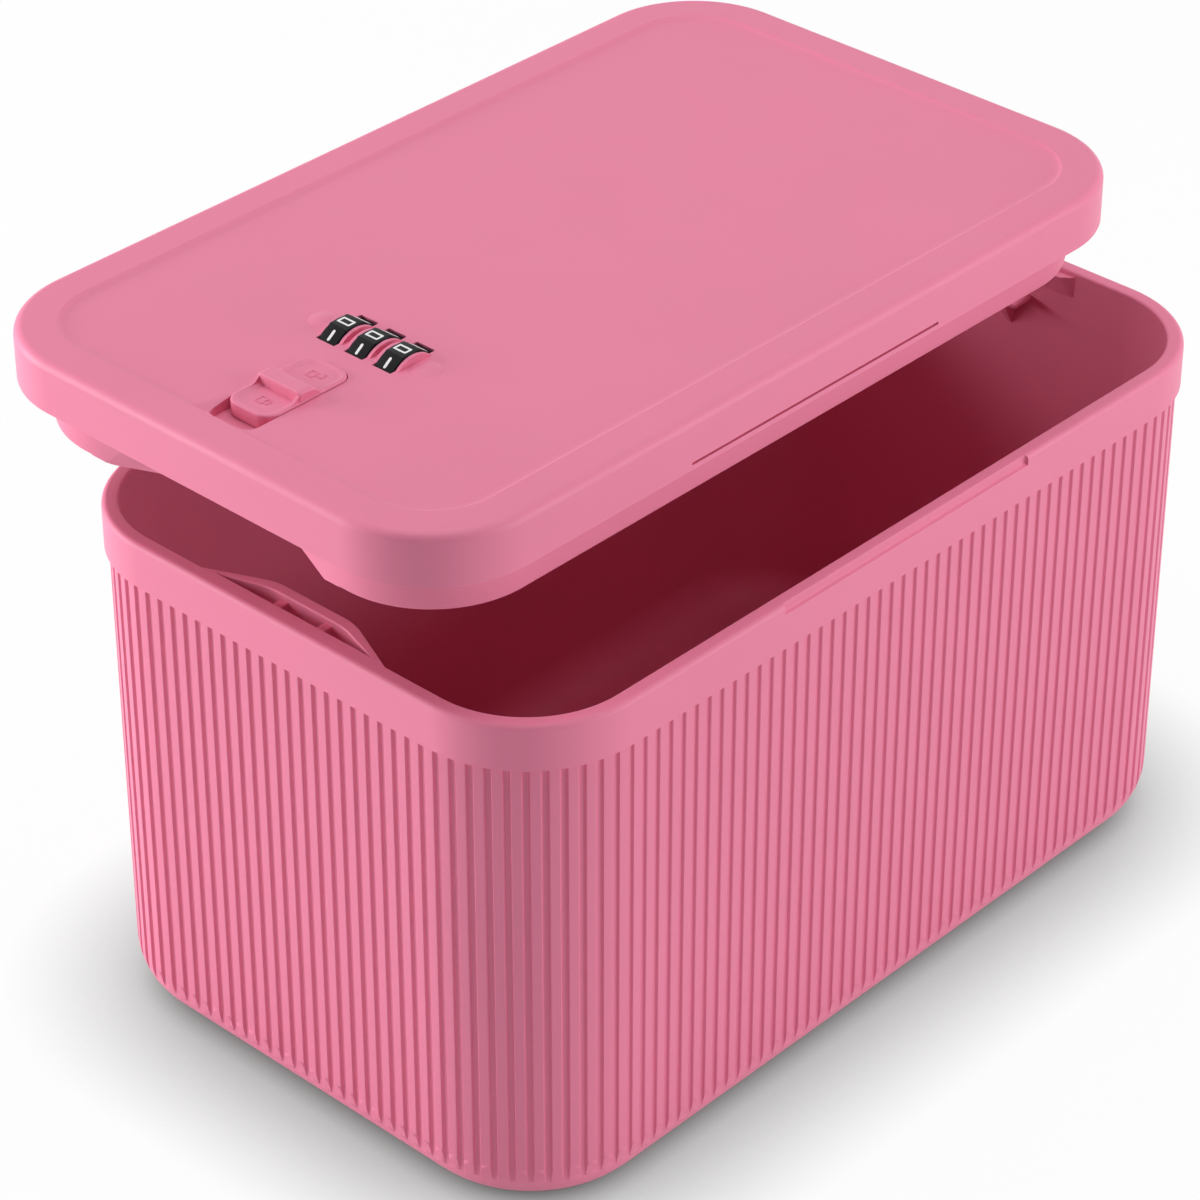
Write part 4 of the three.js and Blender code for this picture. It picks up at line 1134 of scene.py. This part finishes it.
def button_ridge(half_x, pad):
    """The finger ridge across the button, lower at both ends."""
    end, root = RIDGE_PROFILE[-1][0], 0.0006
    crest = BUTTON_HIGH.z - pad
    outline = [(-end, pad - root),
               *[(place, pad + share * crest) for place, share in RIDGE_PROFILE],
               (end, pad - root)]
    ridge = lying_prism("ridge", outline, -half_x, half_x)
    edit(ridge, "VERT")
    for inset, _ in RIDGE_ENDS:
        for side in (-1, 1):
            pick_all()
            bpy.ops.mesh.bisect(plane_co=(side * (half_x - inset), 0.0, 0.0),
                                plane_no=(1.0, 0.0, 0.0))
    for inset, share in RIDGE_ENDS:
        pick("verts", lambda v: abs(abs(v.co.x) - half_x + inset) < NEAR and v.co.z > pad + NEAR)
        bpy.ops.transform.resize(value=(1.0, 1.0, share), center_override=(0.0, 0.0, pad))
    return done(ridge)


def button_sweeps(half_x, ridge_half, top):
    """The two ends of the rim's sweep up to the ridge."""
    width, side_gap, rear, rear_share, root = 0.0014, 0.0002, -0.0030, 0.6, 0.0010
    foot = top - root
    rise = BUTTON_HIGH.z - top
    outline = [(SWEEP_PROFILE[0][0], foot),
               *[(place, top + share * rise) for place, share in SWEEP_PROFILE],
               (rear, top + rear_share * rise), (rear, foot)]
    return [lying_prism("sweep", outline, low, high) for low, high in
            ((-ridge_half + side_gap, -half_x + width), (half_x - width, ridge_half - side_gap))]


class LOCKBOX_OT_slide_button(Operator):
    """Models the slide button with its dished pads, finger ridge and padlock signs"""

    bl_idname = "lock_box.slide_button"
    bl_label = "Slide button"

    def execute(self, context):
        lock = lock_sizes()
        dish, rim, dish_start, edge_round, ridge_inset = 0.0007, 0.0012, 0.0026, 0.0007, 0.0001
        stem_x, stem_y, sign_x, sign_y, sign_sunk = 0.004, 0.0045, 0.0005, 0.0098, 0.00002
        open_by = 0.0009
        middle = Vector(middle_of("slide_button"))
        foot = panel_height() - lock.pocket_depth + lock.piece_gap
        top = panel_height() + lock.button_proud
        half_x, half_y, corner = lock.button_width / 2, lock.button_length / 2, lock.button_corner
        pad = top - dish
        button = skin("button", [
            (half_x, half_y, corner, foot), (half_x, half_y, corner, top),
            (half_x - rim, half_y - rim, corner - rim, top),
            (half_x - dish_start, half_y - dish_start, corner - dish_start, pad),
        ])
        round_edges(button, on_outline(half_x, half_y, corner, top), edge_round, 3)
        ridge_half = half_x - ridge_inset
        add(button, button_ridge(ridge_half, pad))
        add(button, block("stem", (-stem_x, -stem_y, BUTTON_LOW.z), (stem_x, stem_y, foot + PAST)))
        sweeps = button_sweeps(half_x, ridge_half, top)
        signs = [padlock_sign(sign_x, sign_y, pad - sign_sunk, open_by, open_by),
                 padlock_sign(sign_x, -sign_y, pad - sign_sunk, 0.0, 0.0)]
        join(button, *signs, *sweeps)
        shift(button, (middle.x, middle.y, 0.0))
        plastic = moulded_plastic("Pink button plastic", finishes().pink, 0.42)
        finish_piece(button, "button_ridged", "slide_body", "pink_plastic", plastic,
                     "slide_button")
        return {"FINISHED"}


# Finishes


def new_node(tree, kind, **values):
    """A node with values on its sockets; an underscore stands for a space in a socket's name."""
    made = tree.nodes.new(kind)
    for name, value in values.items():
        made.inputs[name.replace("_", " ")].default_value = value
    return made


def link(tree, source, output, target, socket):
    tree.links.new(source.outputs[output], target.inputs[socket])


def empty_tree(owner, output):
    """The emptied node tree of a material or a world, and its output node."""
    owner.use_nodes = True
    owner.node_tree.nodes.clear()
    return owner.node_tree, owner.node_tree.nodes.new(output)


def nodes_of(name, **values):
    material = bpy.data.materials.new(name)
    tree, output = empty_tree(material, "ShaderNodeOutputMaterial")
    shader = new_node(tree, "ShaderNodeBsdfPrincipled", **values)
    place = tree.nodes.new("ShaderNodeTexCoord")
    link(tree, shader, "BSDF", output, "Surface")
    return material, tree, shader, place


def noise(tree, place, scale, detail=3.0, roughness=0.5):
    made = new_node(tree, "ShaderNodeTexNoise", Scale=scale, Detail=detail, Roughness=roughness)
    link(tree, place, "Object", made, "Vector")
    return made


def tint(tree, shader, source, base, amount):
    """Lets a noise take the colour a little darker and lighter."""
    ramp = tree.nodes.new("ShaderNodeValToRGB")
    for element, place, change in zip(ramp.color_ramp.elements, (0.3, 0.7), (-amount, amount)):
        element.position = place
        element.color = (*[min(1.0, c * (1 + change)) for c in base], 1.0)
    link(tree, source, "Fac", ramp, "Fac")
    link(tree, ramp, "Color", shader, "Base Color")


def gloss(tree, shader, source, low, high):
    """Spreads the roughness between two values by a noise."""
    made = new_node(tree, "ShaderNodeMapRange", From_Min=0.3, From_Max=0.7, To_Min=low,
                    To_Max=high)
    link(tree, source, "Fac", made, "Value")
    link(tree, made, "Result", shader, "Roughness")


def relief(tree, shader, source, strength, distance):
    bump = new_node(tree, "ShaderNodeBump", Strength=strength, Distance=distance)
    link(tree, source, "Fac", bump, "Height")
    link(tree, bump, "Normal", shader, "Normal")


def moulded_plastic(name, base, roughness, grain=1.0, shine=0.26):
    """Satin moulded plastic: a fine spark-eroded grain, a faint flow pattern and uneven gloss."""
    material, tree, shader, place = nodes_of(name, Specular_IOR_Level=shine)
    tint(tree, shader, noise(tree, place, 14.0, 2.0), base, 0.012)
    gloss(tree, shader, noise(tree, place, 60.0, 4.0), roughness - 0.03, roughness + 0.03)
    relief(tree, shader, noise(tree, place, 2600.0, 2.0, 0.6), 0.10 * grain, 0.00006)
    return material


def printed_ink(name, base):
    material, tree, shader, place = nodes_of(name, Roughness=0.5)
    speckle = noise(tree, place, 3200.0, 2.0)
    tint(tree, shader, speckle, base, 0.03)
    relief(tree, shader, speckle, 0.08, 0.00004)
    return material


def plated_steel(name, base, roughness):
    """Plated metal with fine turning marks and uneven brightness."""
    material, tree, shader, place = nodes_of(name, Metallic=1.0)
    marks = noise(tree, place, 1800.0, 4.0, 0.7)
    tint(tree, shader, noise(tree, place, 240.0, 3.0), base, 0.06)
    gloss(tree, shader, marks, roughness - 0.06, roughness + 0.08)
    relief(tree, shader, marks, 0.15, 0.00003)
    return material


class LOCKBOX_OT_inner_finishes(Operator):
    """Gives the pieces inside the lid their plastic, steel and spring finishes"""

    bl_idname = "lock_box.inner_finishes"
    bl_label = "Inner finishes"

    def execute(self, context):
        colours = finishes()
        sleeve_grey = [c * 1.15 for c in colours.grey]
        for material, names in (
            (moulded_plastic("Grey lock plastic", colours.grey, 0.52, 1.5),
             ["lock_frame", "latch"]),
            (moulded_plastic("Grey sleeve plastic", sleeve_grey, 0.42),
             [*["clutch_sleeve_" + side for side in WHEELS], "spindle_spacer"]),
            (moulded_plastic("Black button plastic", colours.black, 0.4, 0.6), ["reset_button"]),
            (plated_steel("Screw steel", colours.steel, 0.28),
             [*LINER_SCREWS, *FRAME_SCREWS, "latch_screw"]),
            (plated_steel("Spindle steel", colours.steel, 0.2), ["wheel_spindle"]),
            (plated_steel("Spring steel", colours.spring, 0.3),
             ["detent_spring", "spindle_clip_left", "spindle_clip_right", "spindle_spring",
              "reset_spring"]),
        ):
            for name in names:
                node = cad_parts[name]
                node.data.materials.clear()
                node.data.materials.append(material)
        return {"FINISHED"}


# Stage

# The soft boxes: place, width, height and the setting of the power.
LAMPS = {
    "left_soft_box": ((-1.15, -0.9, 0.42), 1.0, 0.8, "left_power"),
    "right_soft_box": ((1.3, 0.65, 0.5), 1.0, 0.8, "right_power"),
    "top_soft_box": ((-0.1, 0.2, 1.8), 1.6, 1.6, "top_power"),
}
LAMP_TARGET = Vector((0.0, 0.0, 0.12))
SENSOR_WIDTH = 36.0
FRAME_PIXELS = 1200.0


def seen(tree):
    """1 where the camera, a glossy ray or a transmission ray looks, 0 for the light's own way."""
    path = tree.nodes.new("ShaderNodeLightPath")
    either, all_three = (tree.nodes.new("ShaderNodeMath") for _ in range(2))
    either.operation = all_three.operation = "MAXIMUM"
    link(tree, path, "Is Camera Ray", either, 0)
    link(tree, path, "Is Glossy Ray", either, 1)
    link(tree, either, 0, all_three, 0)
    link(tree, path, "Is Transmission Ray", all_three, 1)
    return all_three


def mixed(tree, share, first, second, output):
    """Sends two shaders, mixed by a share, to the output."""
    mix = tree.nodes.new("ShaderNodeMixShader")
    link(tree, share, 0, mix, "Fac")
    link(tree, first, 0, mix, 1)
    link(tree, second, 0, mix, 2)
    link(tree, mix, 0, output, "Surface")


def floor_finish(stage):
    """A pale floor seen as a white glow far from the object, with a painted grey shade near it:
    ambient occlusion darkens the glow, and a little of the floor's lit colour keeps the real
    shadow.
    """
    material = bpy.data.materials.new("Floor")
    tree, output = empty_tree(material, "ShaderNodeOutputMaterial")
    diffuse = new_node(tree, "ShaderNodeBsdfDiffuse", Color=(*finishes().floor, 1.0))
    painted_shade_glow = tree.nodes.new("ShaderNodeEmission")
    # Painted shade: ambient occlusion darkens the floor's glow near the object.
    shade = new_node(tree, "ShaderNodeAmbientOcclusion", Distance=stage.shade_reach)
    shade.samples = 16
    share = tree.nodes.new("ShaderNodeMath")
    share.operation = "MULTIPLY"
    share.inputs[1].default_value = stage.painted_shade_share
    link(tree, seen(tree), 0, share, 0)
    link(tree, shade, "Color", painted_shade_glow, "Color")
    mixed(tree, share, diffuse, painted_shade_glow, output)
    return material


def studio_world(stage):
    """White where it is seen, and a faint cool fill for the light's own way."""
    world = bpy.data.worlds.new("Studio")
    tree, output = empty_tree(world, "ShaderNodeOutputWorld")
    fill = new_node(tree, "ShaderNodeBackground", Color=(0.94, 0.95, 1.0, 1.0),
                    Strength=stage.fill)
    white = new_node(tree, "ShaderNodeBackground", Color=(1.0, 1.0, 1.0, 1.0), Strength=1.0)
    mixed(tree, seen(tree), fill, white, output)
    return world


def look_from(name, place, way):
    """Names the light or camera just added and turns it to look along a way."""
    made = bpy.context.object
    made.name = name
    made.location = place
    made.rotation_euler = way.to_track_quat("-Z", "Y").to_euler()
    return made


class LOCKBOX_OT_stage(Operator):
    """Sets up the camera, the pale floor, the white backdrop and the studio lamps"""

    bl_idname = "lock_box.stage"
    bl_label = "Stage"

    def execute(self, context):
        scene = context.scene
        stage = scene.lock_box_stage
        deselect()
        azimuth, height = math.radians(stage.azimuth), math.radians(stage.elevation)
        way = Vector((math.sin(azimuth) * math.cos(height), -math.cos(azimuth) * math.cos(height),
                      math.sin(height)))
        bpy.ops.object.camera_add()
        camera = look_from("Camera", Vector(stage.target) + way * stage.distance, -way)
        camera.data.sensor_width = SENSOR_WIDTH
        camera.data.sensor_fit = "HORIZONTAL"
        camera.data.lens = SENSOR_WIDTH * stage.focal_pixels / FRAME_PIXELS
        camera.data.clip_start = 0.05
        camera.data.clip_end = 50.0
        scene.camera = camera
        scene.view_settings.view_transform = "Standard"

        bpy.ops.mesh.primitive_plane_add(size=12.0, location=(0.0, 0.0, 0.0))
        floor = context.object
        floor.name = "stage_floor"
        floor.data.materials.append(floor_finish(stage))
        scene.world = studio_world(stage)
        for name, (place, width, depth, power) in LAMPS.items():
            deselect()
            bpy.ops.object.light_add(type="AREA")
            lamp = look_from(name, place, LAMP_TARGET - Vector(place)).data
            lamp.shape = "RECTANGLE"
            lamp.size = width
            lamp.size_y = depth
            lamp.energy = getattr(stage, power)
        deselect()
        return {"FINISHED"}


class LOCKBOX_PT_panel(Panel):
    """Lists the steps that build the lock box"""

    bl_idname = "LOCKBOX_PT_panel"
    bl_label = "Medication Lock Box"
    bl_space_type = "VIEW_3D"
    bl_region_type = "UI"
    bl_category = "Lock Box"

    def draw(self, context):
        layout = self.layout
        for step in STEPS:
            layout.operator("lock_box." + step)
        for group in GROUPS:
            box = layout.box()
            settings = getattr(context.scene, group)
            for name in settings.bl_rna.properties.keys():
                if name not in ("rna_type", "name"):
                    box.prop(settings, name)


STEPS = ("stage", "tub", "lid_shell", "lid_liner", "number_wheels", "slide_button",
         "inner_finishes")
GROUPS = {
    "lock_box_tub": TubSizes,
    "lock_box_lid": LidSizes,
    "lock_box_lock": LockSizes,
    "lock_box_finishes": Finishes,
    "lock_box_stage": StageSettings,
}
CLASSES = (
    *GROUPS.values(), LOCKBOX_OT_stage, LOCKBOX_OT_tub, LOCKBOX_OT_lid_shell,
    LOCKBOX_OT_lid_liner, LOCKBOX_OT_number_wheels, LOCKBOX_OT_slide_button,
    LOCKBOX_OT_inner_finishes, LOCKBOX_PT_panel,
)


def register():
    for made in CLASSES:
        bpy.utils.register_class(made)
    for name, group in GROUPS.items():
        setattr(bpy.types.Scene, name, PointerProperty(type=group))


def unregister():
    for name in GROUPS:
        delattr(bpy.types.Scene, name)
    for made in reversed(CLASSES):
        bpy.utils.unregister_class(made)


def main():
    register()
    for step in STEPS:
        getattr(bpy.ops.lock_box, step)()


if __name__ == "__main__":
    main()
